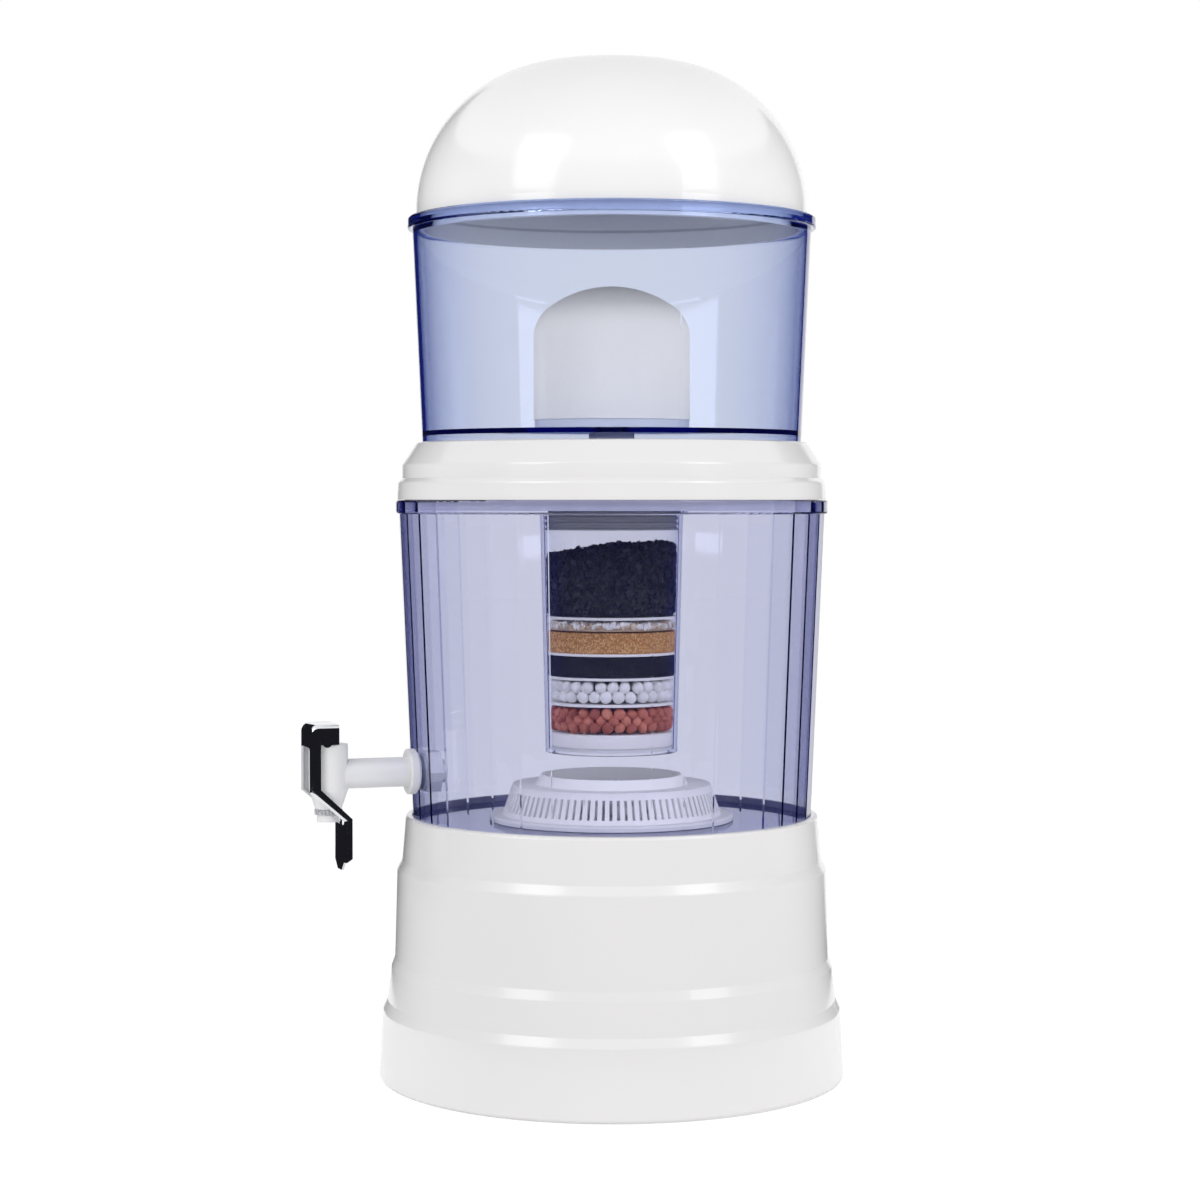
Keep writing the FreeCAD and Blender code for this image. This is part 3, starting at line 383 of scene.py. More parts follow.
def evaluated(thing):
    # the plain mesh that an object's modifiers give
    graph = bpy.context.evaluated_depsgraph_get()
    return bpy.data.meshes.new_from_object(thing.evaluated_get(graph), depsgraph=graph)


def newTree(name, sockets):
    tree = bpy.data.node_groups.new(name, "GeometryNodeTree")
    for title, kind in {"Geometry": "Geometry", **sockets}.items():
        tree.interface.new_socket(title, in_out="INPUT", socket_type="NodeSocket" + kind)
    tree.interface.new_socket("Geometry", in_out="OUTPUT", socket_type="NodeSocketGeometry")
    maker = NodeMaker(tree)
    source = tree.nodes.new("NodeGroupInput")
    return tree, maker, {socket.name: Wire(maker, socket) for socket in source.outputs if socket.name}


def endTree(maker, geometry, finish):
    # real meshes with their finish, for the export
    real = maker.node("GeometryNodeRealizeInstances", None, {"Geometry": geometry})
    finished = maker.node("GeometryNodeSetMaterial", None, {"Geometry": real, "Material": finish})
    maker.node("NodeGroupOutput", None, {"Geometry": finished})


def grow(name, tree, points, values):
    # runs a node tree on a mesh of points, and keeps the plain mesh
    seed = bpy.data.meshes.new(name + "Points")
    seed.from_pydata(points, [], [])
    carrier = addObject(name + "Carrier", seed)
    modifier = carrier.modifiers.new("grow", "NODES")
    modifier.node_group = tree
    for item in tree.interface.items_tree:
        if item.item_type == "SOCKET" and item.in_out == "INPUT" and item.name in values:
            modifier[item.identifier] = values[item.name]
    mesh = evaluated(carrier)
    mesh.name = name
    bpy.data.objects.remove(carrier)
    return mesh


def makeScatterTree():
    # a grain on every point: turned, stretched and dented by its own place
    tree, maker, given = newTree("scatterGrains", {
        "Size": "Float", "Spread": "Float", "Dent": "Float", "Detail": "Int", "Seed": "Int",
        "Smooth": "Bool", "Finish": "Material"})
    grain = maker.node("GeometryNodeMeshIcoSphere", None, {
        "Radius": given["Size"] * 0.5, "Subdivisions": given["Detail"]})
    fullTurn = (6.283, 6.283, 6.283)
    turns = maker.node("FunctionNodeRandomValue", {"data_type": "FLOAT_VECTOR"}, {
        0: (0.0, 0.0, 0.0), 1: fullTurn, "Seed": given["Seed"]})
    least = maker.node("ShaderNodeCombineXYZ", None, {key: 1.0 - given["Spread"] for key in "XYZ"})
    most = maker.node("ShaderNodeCombineXYZ", None, {key: 1.0 + given["Spread"] for key in "XYZ"})
    stretch = maker.node("FunctionNodeRandomValue", {"data_type": "FLOAT_VECTOR"}, {
        0: least, 1: most, "Seed": given["Seed"] + 7.0})
    placed = maker.node("GeometryNodeInstanceOnPoints", None, {
        "Points": given["Geometry"], "Instance": grain, "Rotation": turns, "Scale": stretch})
    tone = maker.node("FunctionNodeRandomValue", {"data_type": "FLOAT"}, {
        2: 0.0, 3: 1.0, "Seed": given["Seed"] + 13.0}, 1)
    marked = maker.node("GeometryNodeStoreNamedAttribute", {"data_type": "FLOAT", "domain": "INSTANCE"}, {
        "Geometry": placed, "Name": "grain", "Value": tone})
    real = maker.node("GeometryNodeRealizeInstances", None, {"Geometry": marked})
    dents = maker.node("ShaderNodeTexNoise", None, {
        "Vector": maker.node("GeometryNodeInputPosition"), "Scale": 1.1 / given["Size"], "Detail": 1.0}, "Color")
    centred = maker.node("ShaderNodeVectorMath", {"operation": "SUBTRACT"}, {0: dents, 1: (0.5, 0.5, 0.5)})
    push = maker.node("ShaderNodeVectorMath", {"operation": "SCALE"}, {0: centred, "Scale": given["Dent"] * 2.0})
    bent = maker.node("GeometryNodeSetPosition", None, {"Geometry": real, "Offset": push})
    shaded = maker.node("GeometryNodeSetShadeSmooth", None, {"Geometry": bent, "Shade Smooth": given["Smooth"]})
    endTree(maker, shaded, given["Finish"])
    return tree


scatterTree = makeScatterTree()


def scatter(name, points, look, detail):
    # grains of this look on the points: plain ones, or round and smooth ones
    return grow(name, scatterTree, points, {
        "Size": look["size"], "Spread": look["spread"], "Dent": look["dent"], "Detail": detail,
        "Seed": look["seed"], "Smooth": detail > 1, "Finish": finishes[look["finish"]]})


def joinMeshes(name, meshes, finish):
    # one mesh of several, with the first one's attribute for each grain kept
    parts = [addObject(name + "Part%d" % k, mesh) for k, mesh in enumerate(meshes)]
    for part in parts:
        part.data.materials.clear()
        part.data.materials.append(finish)
    with bpy.context.temp_override(active_object=parts[0], object=parts[0],
                                   selected_objects=parts, selected_editable_objects=parts):
        bpy.ops.object.join()
    parts[0].name = name
    parts[0].data.name = name
    return parts[0]


def settle(thing, body, slot, *replaced):
    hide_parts(*replaced)
    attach(thing, body)
    return thing


def pressIn(mesh, node):
    # keeps grains inside the bed's own room, flat against its wall
    low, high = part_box(node)
    footBand, wallGap = 0.0002, 0.00003
    spots = [nodes[node].matrix_world @ vertex.co for vertex in nodes[node].data.vertices]
    foot = max(math.hypot(spot.x, spot.y) for spot in spots if spot.z < low.z + footBand)
    for vertex in mesh.vertices:
        vertex.co.z = min(max(vertex.co.z, low.z), high.z)
        limit = foot + (high.x - foot) * (vertex.co.z - low.z) / (high.z - low.z) - wallGap
        reach = math.hypot(vertex.co.x, vertex.co.y)
        if reach > limit:
            vertex.co.x *= limit / reach
            vertex.co.y *= limit / reach
    return mesh


# How grains lie in a bed, in spacings: step between rows, and how far they stray from their rows
packing = {"rowStep": 0.86, "stray": 0.35, "sink": 0.25, "topStray": 0.3}


def wallPoints(radius, low, high, spacing, rng):
    # points on a round wall, in rows, each a little off its place
    stray = packing["stray"]
    rows = max(1, round((high - low) / (spacing * packing["rowStep"])))
    count = max(6, round(2 * math.pi * radius / spacing))
    points = []
    for row in range(rows):
        height = low + (high - low) * (row + 0.5) / rows
        for k in range(count):
            angle = 2 * math.pi * (k + 0.5 * (row % 2) + rng.uniform(-stray, stray)) / count
            depth = radius - rng.uniform(0, packing["sink"]) * spacing
            points.append((depth * math.cos(angle), depth * math.sin(angle),
                           height + rng.uniform(-stray, stray) * spacing * 0.5))
    return points


def topPoints(radius, height, spacing, rng, rise, rough):
    # points over a level or heaped top
    stray = packing["topStray"]
    points = []
    rings = max(1, round(radius / spacing))
    for ring in range(rings):
        reach = radius * (ring + 0.5) / rings
        count = max(3, round(2 * math.pi * reach / spacing))
        for k in range(count):
            angle = 2 * math.pi * (k + rng.uniform(-stray, stray)) / count
            x, y = reach * math.cos(angle), reach * math.sin(angle)
            points.append((x, y, height + rise(x, y) + rng.uniform(-rough, rough) * spacing))
    return points


# Layers in the cartridge: grain size and how closely the grains lie. A top that shows has its
# roughness, and a piled one its crown, its lean towards one side and its drop from the room's top.
layers = {
    "carbonLayer": {"node": "carbon_bed", "slot": "carbon", "finish": "carbonGranules",
                    "size": 0.0043, "spread": 0.4, "dent": 0.0016, "pack": 0.7, "seed": 3, "topRough": 0.4,
                    "pile": {"crown": 0.0030, "lean": 0.0034, "across": (0.3338, 0.9426), "drop": 0.0062}},
    "chipLayer": {"node": "chip_bed", "slot": "chips", "finish": "stoneChips",
                  "size": 0.0036, "spread": 0.4, "dent": 0.0011, "pack": 0.72, "seed": 5, "topRough": 0.2},
    "sandLayer": {"node": "sand_bed", "slot": "sand", "finish": "sandGrains",
                  "size": 0.0012, "spread": 0.3, "dent": 0.0003, "pack": 0.85, "seed": 8},
    "fineCarbonLayer": {"node": "fine_carbon_bed", "slot": "carbon", "finish": "fineCarbon",
                        "size": 0.0012, "spread": 0.35, "dent": 0.0003, "pack": 0.85, "seed": 11},
}


def makeLayer(name, look):
    low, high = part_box(look["node"])
    rng = random.Random(look["seed"])
    size = look["size"]
    spacing = size * look["pack"]
    reach = size * 0.5 * (1 + look["spread"]) + look["dent"] * 0.5
    wall = high.x - size * 0.42
    pile = look.get("pile")
    top = high.z - (pile["drop"] if pile else 0.0) - reach

    def rise(x, y):
        # piled up where it was poured in, and lower on one side
        if not pile:
            return 0.0
        lean = Vector(pile["across"]).dot((x, y)) / wall
        return pile["crown"] * (1 - math.hypot(x, y) / wall) + pile["lean"] * lean

    points = wallPoints(wall, low.z + reach * 0.6, top, spacing, rng)
    points = [(x, y, z + rise(x, y) * (z - low.z) / (top - low.z)) for x, y, z in points]
    if "topRough" in look:
        points += topPoints(wall, top, spacing, rng, rise, look["topRough"])
    grains = pressIn(scatter(name, points, look, 1), look["node"])
    inner = wall - size * 0.15
    core = lathe(name + "Core", [(0, low.z), (inner, low.z), (inner, top), (0, top)], 64)
    if pile:
        for vertex in core.vertices:
            if vertex.co.z > low.z + 0.001:
                vertex.co.z += rise(vertex.co.x, vertex.co.y) - size * 0.6
    piece = joinMeshes(name, [grains, core], finishes[look["finish"]])
    return settle(piece, "cartridge", look["slot"], look["node"])


for layerName, layerLook in layers.items():
    makeLayer(layerName, layerLook)
print("layers:", len(layers))

# Balls: rings of balls from the case inwards, one row on the gaps of the row below
balls = {
    "whiteBallLayer": {"node": "white_ball_bed", "slot": "white_balls", "finish": "whiteBalls",
                       "size": 0.0070, "rows": 2, "spread": 0.07, "dent": 0.0006, "seed": 21},
    "redBallLayer": {"node": "red_ball_bed", "slot": "red_balls", "finish": "redBalls",
                     "size": 0.0067, "rows": 3, "spread": 0.16, "dent": 0.0006, "seed": 23},
}
# How balls lie, in ball sizes: ring to ring, ball to ball, and how far a ball strays and sinks in
ballPacking = {"rings": 4, "ringStep": 0.93, "ballStep": 1.01, "stray": 0.08, "sink": 0.06}


def makeBalls(name, look):
    low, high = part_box(look["node"])
    rng = random.Random(look["seed"])
    size = look["size"]
    stray = ballPacking["stray"]
    half = size / 2 * (1 + look["spread"]) + look["dent"] / 2
    wall = high.x - size / 2
    points = []
    for ring in range(ballPacking["rings"]):
        reach = wall - ring * size * ballPacking["ringStep"]
        count = int(2 * math.pi * reach / (size * ballPacking["ballStep"]))
        for row in range(look["rows"]):
            height = low.z + half + (high.z - low.z - 2 * half) * row / (look["rows"] - 1)
            for k in range(count):
                angle = 2 * math.pi * (k + 0.5 * row + 0.3 * ring + rng.uniform(-stray, stray)) / count
                depth = reach - rng.uniform(0, ballPacking["sink"]) * size
                points.append((depth * math.cos(angle), depth * math.sin(angle), height))
    mesh = pressIn(scatter(name, points, look, 3), look["node"])
    return settle(addObject(name, mesh), "cartridge", look["slot"], look["node"])


for ballName, ballLook in balls.items():
    makeBalls(ballName, ballLook)
print("ball layers:", len(balls))

padLook = {"gap": 0.0002, "edge": 0.0012}


def makePad():
    # a felt disc, soft at its edges
    low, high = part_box("outlet_pad")
    edge = padLook["edge"]
    wall = high.x - padLook["gap"]
    outline = [(0, low.z)]
    for height, turns in ((low.z + edge, (-90, -60, -30, 0)), (high.z - edge, (0, 30, 60, 90))):
        outline += [(wall - edge + edge * math.cos(math.radians(turn)),
                     height + edge * math.sin(math.radians(turn))) for turn in turns]
    outline.append((0, high.z))
    pad = addObject("feltPad", lathe("feltPad", outline, 96))
    pad.data.materials.append(finishes["whiteFelt"])
    return settle(pad, "cartridge", "pad", "outlet_pad")


makePad()

# Grey stones in rings; each has its room, and its size is a share of that
stoneLook = {"room": 0.0105, "fill": 0.86, "spread": 0.16, "dent": 0.0012, "rings": 5, "seed": 31,
             "finish": "greyStones"}


def makeStones():
    low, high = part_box("mineral_stones")
    rng = random.Random(stoneLook["seed"])
    room, rings = stoneLook["room"], stoneLook["rings"]
    reach = room * 0.5
    points = []
    for ring in range(rings):
        distance = (high.x - reach * 1.25) * (1 - ring / rings)
        count = max(1, int(2 * math.pi * distance / (room * 1.15)))
        for k in range(count):
            angle = 2 * math.pi * (k + rng.uniform(-0.2, 0.2)) / count
            points.append((distance * math.cos(angle), distance * math.sin(angle),
                           low.z + reach * 1.1 + rng.uniform(0, 0.0006)))
    look = {**stoneLook, "size": room * stoneLook["fill"]}
    stones = addObject("greyStoneFill", scatter("greyStoneFill", points, look, 3))
    return settle(stones, "mineral_case", "grey_stones", "mineral_stones")


makeStones()

springLook = {"turns": 7.0, "wire": 0.0006}


def makeSpring():
    # a coil of round wire, made by a tree from its turns and radii
    tree, maker, given = newTree("coil", {
        "Turns": "Float", "Radius": "Float", "Height": "Float", "Wire": "Float", "Finish": "Material"})
    line = maker.node("GeometryNodeCurveSpiral", None, {
        "Resolution": 24, "Rotations": given["Turns"], "Start Radius": given["Radius"],
        "End Radius": given["Radius"], "Height": given["Height"]})
    section = maker.node("GeometryNodeCurvePrimitiveCircle", None, {"Resolution": 10, "Radius": given["Wire"]})
    tube = maker.node("GeometryNodeCurveToMesh", None, {
        "Curve": line, "Profile Curve": section, "Fill Caps": True})
    endTree(maker, tube, given["Finish"])
    low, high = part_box("valve_spring")
    centre = ((low.x + high.x) / 2, (low.y + high.y) / 2, high.z)
    wire = springLook["wire"]
    mesh = grow("valveCoil", tree, [(0, 0, 0)], {
        "Turns": springLook["turns"], "Radius": (high.x - low.x) / 2 - wire, "Wire": wire,
        "Height": high.z - low.z - 2 * wire, "Finish": finishes["springSteel"]})
    mesh.transform(Matrix.Translation((centre[0], centre[1], low.z + wire)))
    coil = settle(addObject("valveCoil", smooth(mesh)), "tank", "steel", "valve_spring")
    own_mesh(coil)


makeSpring()
print("pad, stones and spring made")


def cutter(name, outline, axis, ends):
    # a prism along one axis between two ends, to cut with
    places = {"X": lambda a, b, c: (c, a, b), "Y": lambda a, b, c: (a, c, b)}[axis]
    bm = bmesh.new()
    first, second = [[bm.verts.new(places(a, b, end)) for a, b in outline] for end in ends]
    for k in range(len(first)):
        j = (k + 1) % len(first)
        bm.faces.new((first[k], first[j], second[j], second[k]))
    bm.faces.new(first)
    bm.faces.new(list(reversed(second)))
    return addObject(name, meshFrom(bm, name))


def roundCorners(low, high, radius, steps=5):
    # a rectangle's outline with rounded corners
    outline = []
    for corner, (x, y) in enumerate(((high[0], high[1]), (low[0], high[1]), (low[0], low[1]), (high[0], low[1]))):
        centre = (x - radius if x == high[0] else x + radius, y - radius if y == high[1] else y + radius)
        for k in range(steps + 1):
            angle = math.radians(90 * (corner + k / steps))
            outline.append((centre[0] + radius * math.cos(angle), centre[1] + radius * math.sin(angle)))
    return outline


def circleOutline(x, y, radius, steps=32):
    turns = [2 * math.pi * k / steps for k in range(steps)]
    return [(x + radius * math.cos(turn), y + radius * math.sin(turn)) for turn in turns]


def carve(thing, cutters, operation="DIFFERENCE"):
    # cuts pieces away or adds them, and clears them
    for tool in cutters:
        cut = thing.modifiers.new("cut", "BOOLEAN")
        cut.operation = operation
        cut.solver = "EXACT"
        cut.object = tool
    mesh = evaluated(thing)
    thing.modifiers.clear()
    thing.data = mesh
    for tool in cutters:
        bpy.data.objects.remove(tool)


# Chrome lever, in millimetres: side outlines (y, z) outside and inside, where three numbers are
# the centre and radius of the arc at the top front; openings as two corners and the corners'
# radius, and how far each is cut; the fingers at the back as spans of x, y and z
leverLook = {
    "half": 12.5, "sheet": 1.2, "edgeRadius": 3.0, "edgeSteps": 6, "arcSteps": 8, "bevel": 0.22,
    "outer": [(-162.5, 131.6), (-162.5, 154.6), (-182.0, 171.4), (-177.0, 204.4, 5.0),
              (-165.5, 209.4), (-165.5, 198.0), (-176.0, 198.0), (-176.0, 172.9), (-158.1, 156.1),
              (-158.1, 133.7), (-161.3, 131.6)],
    "inner": [(-161.3, 120.0), (-161.3, 155.0), (-180.8, 171.8), (-177.0, 204.4, 3.8),
              (-166.7, 208.2), (-166.7, 197.4), (-140.0, 197.4), (-140.0, 120.0)],
    "tip": [(-4.5, 126.8), (4.5, 126.8), (9.9, 131.6), (9.9, 133.0), (-9.9, 133.0), (-9.9, 131.6)],
    "tipFront": (-162.5, -161.3),
    "window": ((-10.0, 152.5), (10.0, 196.5), 2.0), "windowCut": (-190.0, -150.0),
    "notch": ((-3.6, 190.0), (3.6, 206.0), 0.8), "notchCut": (-168.0, -160.0),
    "hole": (-172.6, 199.4, 1.55), "holeCut": (-20.0, 20.0),
    "fingers": ((2.6, 5.0), (-171.1, -166.1), (199.6, 200.6)),
}


def small(values):
    return tuple(value / 1000 for value in values)


def leverOutline(points):
    # fills in the arc, and counts the points up to the top's back edge
    outline = []
    front = 0
    for point in points:
        if len(point) == 3:
            y, z, radius = point
            for k in range(leverLook["arcSteps"] + 1):
                angle = math.radians(180 - 90 * k / leverLook["arcSteps"])
                outline.append((y + radius * math.cos(angle), z + radius * math.sin(angle)))
            front = len(outline)
        else:
            outline.append(point)
    return [small(point) for point in outline], front


def bentBlock(name, points, half, radius):
    # a block with this side outline, its front edges rounded all along
    outline, front = leverOutline(points)
    bm = bmesh.new()
    loops = [[bm.verts.new((x, y, z)) for y, z in outline] for x in (-half, half)]
    count = len(outline)
    for k in range(count):
        j = (k + 1) % count
        bm.faces.new((loops[0][k], loops[0][j], loops[1][j], loops[1][k]))
    for loop in loops:
        bm.faces.new(loop)
    bmesh.ops.recalc_face_normals(bm, faces=bm.faces)
    edges = [bm.edges.get((loop[k], loop[k + 1])) for loop in loops for k in range(front)]
    bmesh.ops.bevel(bm, geom=edges, offset=radius, offset_type="OFFSET", segments=leverLook["edgeSteps"],
                    profile=0.5, affect="EDGES", clamp_overlap=False)
    return addObject(name, meshFrom(bm, name))


def makeLever():
    look = leverLook
    half, sheet, radius = small((look["half"], look["sheet"], look["edgeRadius"]))
    lever = bentBlock("chromeLever", look["outer"], half, radius)
    cutters = [bentBlock("innerTool", look["inner"], half - sheet, radius - sheet)]
    for opening in ("window", "notch"):
        low, high, corner = look[opening]
        outline = roundCorners(small(low), small(high), corner / 1000)
        cutters.append(cutter(opening + "Tool", outline, "Y", small(look[opening + "Cut"])))
    cutters.append(cutter("holeTool", circleOutline(*small(look["hole"])), "X", small(look["holeCut"])))
    carve(lever, cutters)
    (innerX, outerX), acrossY, (lowZ, highZ) = [small(span) for span in look["fingers"]]
    fingerEdge = 0.0003
    added = []
    for sign in (-1, 1):
        low, high = sorted((sign * innerX, sign * outerX))
        outline = roundCorners((low, lowZ), (high, highZ), fingerEdge, 2)
        added.append(cutter("prong%d" % sign, outline, "Y", acrossY))
    added.append(cutter("tipPlate", [small(point) for point in look["tip"]], "Y", small(look["tipFront"])))
    carve(lever, added, "UNION")
    lever.data.materials.clear()
    lever.data.materials.append(finishes["chromePlate"])
    smooth(lever.data, 30)
    edges = lever.modifiers.new("edges", "BEVEL")
    edges.width = look["bevel"] / 1000
    edges.segments = 2
    edges.limit_method = "ANGLE"
    edges.angle_limit = math.radians(40)
    edges.harden_normals = True
    lever.data = evaluated(lever)
    lever.modifiers.clear()
    lever.data.name = "chromeLever"
    return settle(lever, "lever", "chrome", "tap_lever")


makeLever()

# Threaded cap of the cartridge, in millimetres; the thread's profile is (share of pitch, sunk)
capLook = {"plugInner": 35.8, "plugOuter": 38.2, "low": 317.0, "seat": 343.0, "flange": (41.7, 345.6),
           "boss": (12.0, 364.4), "bore": 6.05, "pitch": 3.3, "depth": 0.85, "firstThread": 318.0, "threads": 7,
           "profile": ((0.0, 0), (0.18, 1), (0.42, 1), (0.6, 0))}


def makeCap():
    look = capLook
    outline = [(look["plugInner"], look["low"]), (look["plugOuter"], look["low"])]
    for k in range(look["threads"]):
        foot = look["firstThread"] + k * look["pitch"]
        for share, sunk in look["profile"]:
            outline.append((look["plugOuter"] - look["depth"] * sunk, foot + share * look["pitch"]))
    outline += [(look["plugOuter"], look["seat"]), (look["flange"][0], look["seat"]), look["flange"], look["boss"],
                (look["bore"], look["boss"][1]), (look["bore"], look["seat"]), (look["plugInner"], look["seat"])]
    cap = addObject("threadedCap", lathe("threadedCap", [small(point) for point in outline], 128, 30))
    cap.data.materials.append(finishes["smokeCap"])
    return settle(cap, "cartridge", "smoke_cap", "cartridge_cap")


makeCap()

# Knurled ring on the spout: ribs set round a plain ring with softened edges
knurlLook = {"ribs": 22, "ribRadius": 0.00058, "ribTall": 0.88, "bore": 0.00656, "soft": 0.0004}


def makeKnurledRing():
    tree, maker, given = newTree("uprightRibs", {"Radius": "Float", "Height": "Float", "Finish": "Material"})
    rib = maker.node("GeometryNodeMeshCylinder", None, {
        "Vertices": 10, "Radius": given["Radius"], "Depth": given["Height"]})
    placed = maker.node("GeometryNodeInstanceOnPoints", None, {"Points": given["Geometry"], "Instance": rib})
    endTree(maker, placed, given["Finish"])
    low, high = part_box("spout_ring")
    centre = (low + high) / 2
    bore, soft = knurlLook["bore"], knurlLook["soft"]
    reach = (high.x - low.x) / 2 - knurlLook["ribRadius"] * 1.02
    spots = [(*spot, centre.z) for spot in circleOutline(centre.x, centre.y, reach, knurlLook["ribs"])]
    ribs = grow("knurlRibs", tree, spots, {
        "Radius": knurlLook["ribRadius"], "Height": (high.z - low.z) * knurlLook["ribTall"],
        "Finish": finishes["frostedRing"]})
    band = lathe("knurlBand", [
        (bore, low.z), (reach - soft, low.z), (reach, low.z + soft), (reach, high.z - soft),
        (reach - soft, high.z), (bore, high.z)], 64)
    band.transform(Matrix.Translation((centre.x, centre.y, 0)))
    piece = joinMeshes("knurledRing", [smooth(ribs), band], finishes["frostedRing"])
    return settle(piece, "tank", "white_fitting", "spout_ring")


makeKnurledRing()
print("lever, cap and knurled ring made")

# Stage: camera as in the photograph, floor, soft lamps
view = {"eye": (1.5012, -0.5387, 0.3361), "tilt": 87.85, "turn": 70.5, "lens": 82.5, "sensor": 36.0}
# Lamps: swing round the object from the camera's side, distance and height, size and brightness,
# and whether chrome and clear plastic mirror them
lamps = {
    "stripLeft": {"swing": -45.5, "distance": 1.7, "lift": 0.37, "width": 0.78, "tall": 0.27,
                  "bright": 6.6, "mirrored": False},
    "stripRight": {"swing": 52.0, "distance": 1.7, "lift": 0.37, "width": 0.69, "tall": 0.27,
                   "bright": 9.0, "mirrored": False},
    "fillLeft": {"swing": -105.0, "distance": 1.6, "lift": 0.45, "width": 0.5, "tall": 0.8,
                 "bright": 2.8, "mirrored": False},
    "fillRight": {"swing": 105.0, "distance": 1.6, "lift": 0.30, "width": 0.5, "tall": 0.6,
                  "bright": 4.2, "mirrored": False},
    "boxLeft": {"swing": -45.5, "distance": 1.5, "lift": 1.25, "width": 0.74, "tall": 1.15,
                "bright": 3.0, "mirrored": True},
    "boxRight": {"swing": 52.0, "distance": 1.5, "lift": 1.25, "width": 0.66, "tall": 1.15,
                 "bright": 3.0, "mirrored": True},
}
lampAim = 0.33  # height on the axis that the lamps point at
floorLook = {"tone": (0.9, 0.9, 0.9), "white": 0.86, "glow": 1.08, "size": 14.0}
skyLook = {"light": 0.55}
# Cards round the object, seen in reflections only: from one azimuth to another, on the floor
# from the inner to the outer radius, then upright between two heights. They show after this
# many passes through clear plastic: the blue ones in light that its edges turn, the white
# strips in light that its far wall throws back. Each glows its own tone and none is lit: the
# front card is a painted dark reflection, the blue cards paint the navy of the clear edges,
# and the white strips are painted reflections of the strip lamps.
cards = {
    "cardFront": {"from": -182.0, "to": 132.0, "inner": 0.42, "outer": 2.6, "low": 0.004, "tall": 1.9,
                  "tone": (0.012, 0.012, 0.016), "bright": 1.0, "passes": 0},
    "cardLeft": {"from": 176.0, "to": 250.0, "inner": 1.2, "outer": 2.4, "low": 0.008, "tall": 1.6,
                 "tone": (0.01, 0.02, 0.26), "bright": 1.0, "passes": 1},
    "cardRight": {"from": 88.0, "to": 145.0, "inner": 1.2, "outer": 2.4, "low": 0.008, "tall": 1.6,
                  "tone": (0.01, 0.02, 0.26), "bright": 1.0, "passes": 1},
    "glintLeft": {"from": -92.1, "to": -65.7, "inner": 1.7, "outer": 1.7, "low": 0.40, "tall": 0.72,
                  "tone": (1.0, 1.0, 1.0), "bright": 3.3, "passes": 4},
    "glintRight": {"from": 13.5, "to": 42.9, "inner": 1.7, "outer": 1.7, "low": 0.40, "tall": 0.72,
                   "tone": (1.0, 1.0, 1.0), "bright": 3.3, "passes": 4},
}


def makeCamera():
    data = bpy.data.cameras.new("camera")
    data.lens = view["lens"]
    data.sensor_width = view["sensor"]
    camera = addObject("camera", data)
    camera.location = view["eye"]
    camera.rotation_euler = (math.radians(view["tilt"]), 0.0, math.radians(view["turn"]))
    bpy.context.scene.camera = camera


def emptied(owner):
    # the node maker of a material or world, with its nodes cleared
    owner.use_nodes = True
    owner.node_tree.nodes.clear()
    return NodeMaker(owner.node_tree)


def seenRay(maker):
    # 1 for rays from the camera, and for those that a mirror or clear plastic sends on
    path = maker.node("ShaderNodeLightPath").socket.node
    camera, glossy, through = [Wire(maker, path.outputs["Is %s Ray" % kind])
                               for kind in ("Camera", "Glossy", "Transmission")]
    either = maker.node("ShaderNodeMath", {"operation": "MAXIMUM"}, {0: camera, 1: glossy})
    return maker.node("ShaderNodeMath", {"operation": "MAXIMUM"}, {0: either, 1: through})


def makeFloor():
    bm = bmesh.new()
    bmesh.ops.create_grid(bm, x_segments=1, y_segments=1, size=floorLook["size"] / 2)
    floor = addObject("floor", meshFrom(bm, "floor"))
    material = bpy.data.materials.new("paleFloor")
    maker = emptied(material)
    matt = maker.node("ShaderNodeBsdfDiffuse", None, {"Color": opaque(floorLook["tone"])})
    glow = maker.node("ShaderNodeEmission", None, {"Strength": floorLook["glow"]})
    mixed = maker.node("ShaderNodeMixShader", None, {0: seenRay(maker) * floorLook["white"], 1: matt, 2: glow})
    maker.node("ShaderNodeOutputMaterial", None, {"Surface": mixed})
    floor.data.materials.append(material)


def makeSky():
    world = bpy.data.worlds.new("studio")
    maker = emptied(world)
    light = skyLook["light"]
    sky = maker.node("ShaderNodeBackground", None, {
        "Color": (1.0, 1.0, 1.0, 1.0), "Strength": seenRay(maker) * (1 - light) + light})
    maker.node("ShaderNodeOutputWorld", None, {"Surface": sky})
    bpy.context.scene.world = world


def around(azimuth, distance, height):
    turn = math.radians(azimuth)
    return (distance * math.cos(turn), distance * math.sin(turn), height)


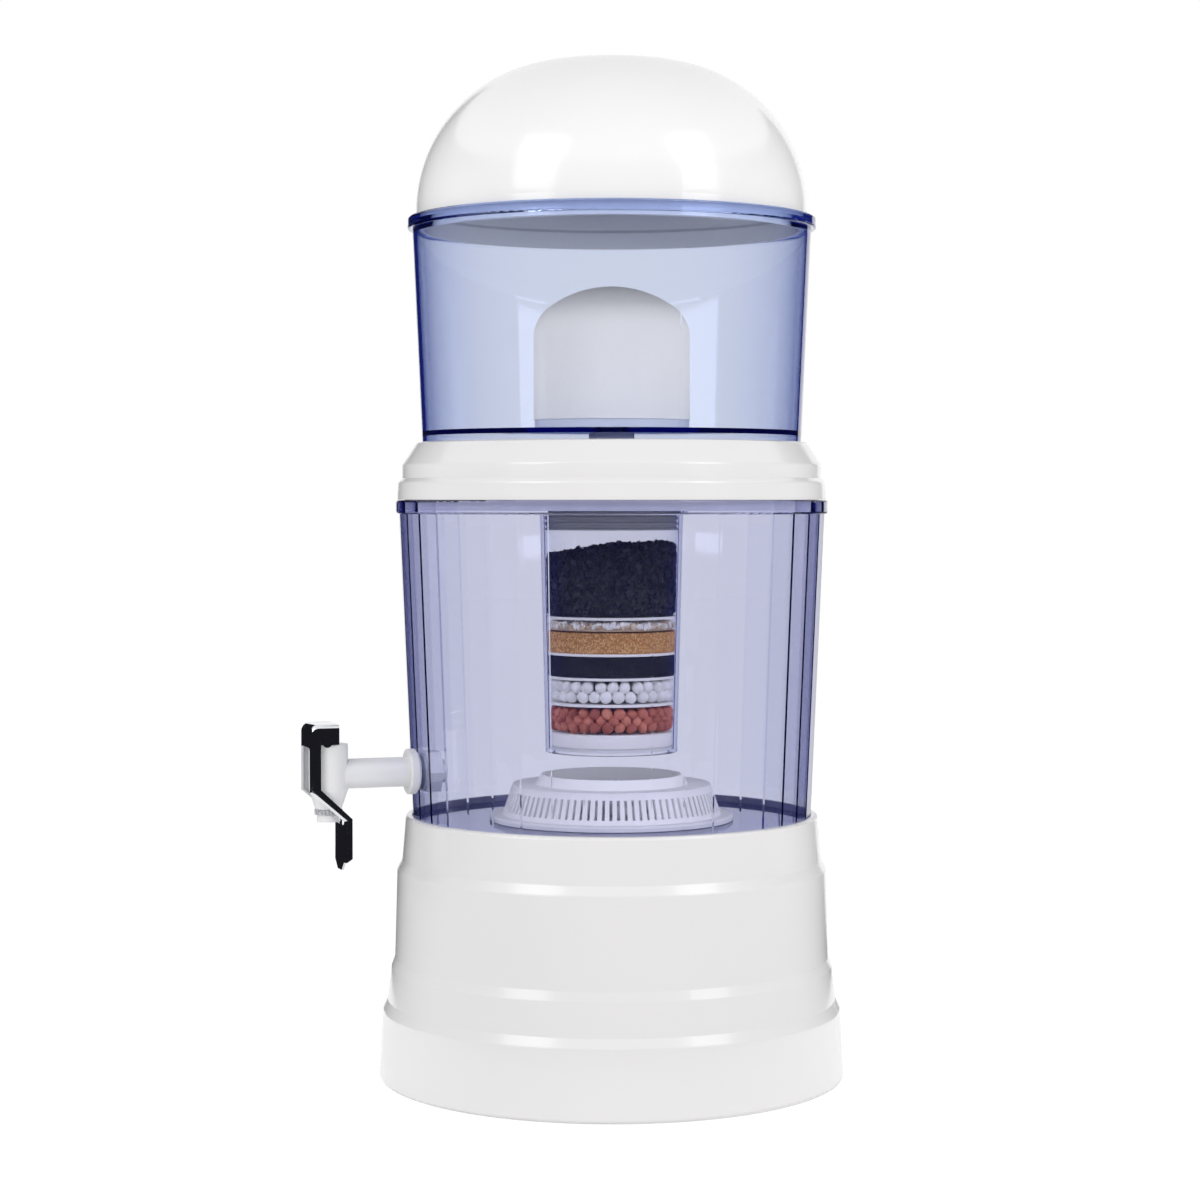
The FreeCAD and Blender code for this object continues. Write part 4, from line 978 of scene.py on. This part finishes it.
def makeLamp(name, look):
    place = around(view["turn"] - 90 + look["swing"], look["distance"], look["lift"])
    data = bpy.data.lights.new(name, "AREA")
    data.shape = "RECTANGLE"
    data.size = look["width"]
    data.size_y = look["tall"]
    data.energy = look["bright"] * math.pi * look["width"] * look["tall"]
    lamp = addObject(name, data)
    lamp.location = place
    lamp.rotation_euler = (Vector((0, 0, lampAim)) - Vector(place)).to_track_quat("-Z", "Y").to_euler()
    lamp.visible_camera = False
    lamp.visible_glossy = lamp.visible_transmission = look["mirrored"]


def makeCard(name, look):
    line = [(look["outer"], look["low"]), (look["outer"], look["tall"])]
    if look["inner"] < look["outer"]:
        line.insert(0, (look["inner"], look["low"]))
    steps = 24
    turns = [look["from"] + (look["to"] - look["from"]) * k / steps for k in range(steps + 1)]
    bm = bmesh.new()
    rows = [[bm.verts.new(around(turn, radius, height)) for turn in turns] for radius, height in line]
    for low, high in zip(rows, rows[1:]):
        for k in range(steps):
            bm.faces.new((low[k], low[k + 1], high[k + 1], high[k]))
    card = addObject(name, meshFrom(bm, name))
    card.data.materials.append(makeCardFinish(name, look))
    card.visible_camera = card.visible_diffuse = card.visible_shadow = card.visible_volume_scatter = False


def makeCardFinish(name, look):
    # clear for light that nothing has reflected on its way, or that passed too little plastic; otherwise it
    # glows its tone as a painted reflection
    material = bpy.data.materials.new(name)
    maker = emptied(material)
    path = maker.node("ShaderNodeLightPath").socket.node
    reflected = maker.node("ShaderNodeMath", {"operation": "MINIMUM"}, {
        0: Wire(maker, path.outputs["Glossy Depth"]), 1: 1.0})
    passed = maker.node("ShaderNodeMath", {"operation": "GREATER_THAN"}, {
        0: Wire(maker, path.outputs["Transmission Depth"]), 1: look["passes"] - 0.5})
    clear = maker.node("ShaderNodeBsdfTransparent")
    shown = maker.node("ShaderNodeEmission", None, {"Color": opaque(look["tone"]), "Strength": look["bright"]})
    mixed = maker.node("ShaderNodeMixShader", None, {0: reflected * passed, 1: clear, 2: shown})
    maker.node("ShaderNodeOutputMaterial", None, {"Surface": mixed})
    return material


makeCamera()
makeFloor()
makeSky()
for lampName, lampLook in lamps.items():
    makeLamp(lampName, lampLook)
for cardName, cardLook in cards.items():
    makeCard(cardName, cardLook)
bpy.context.scene.view_settings.view_transform = "Standard"
print("stage ready")
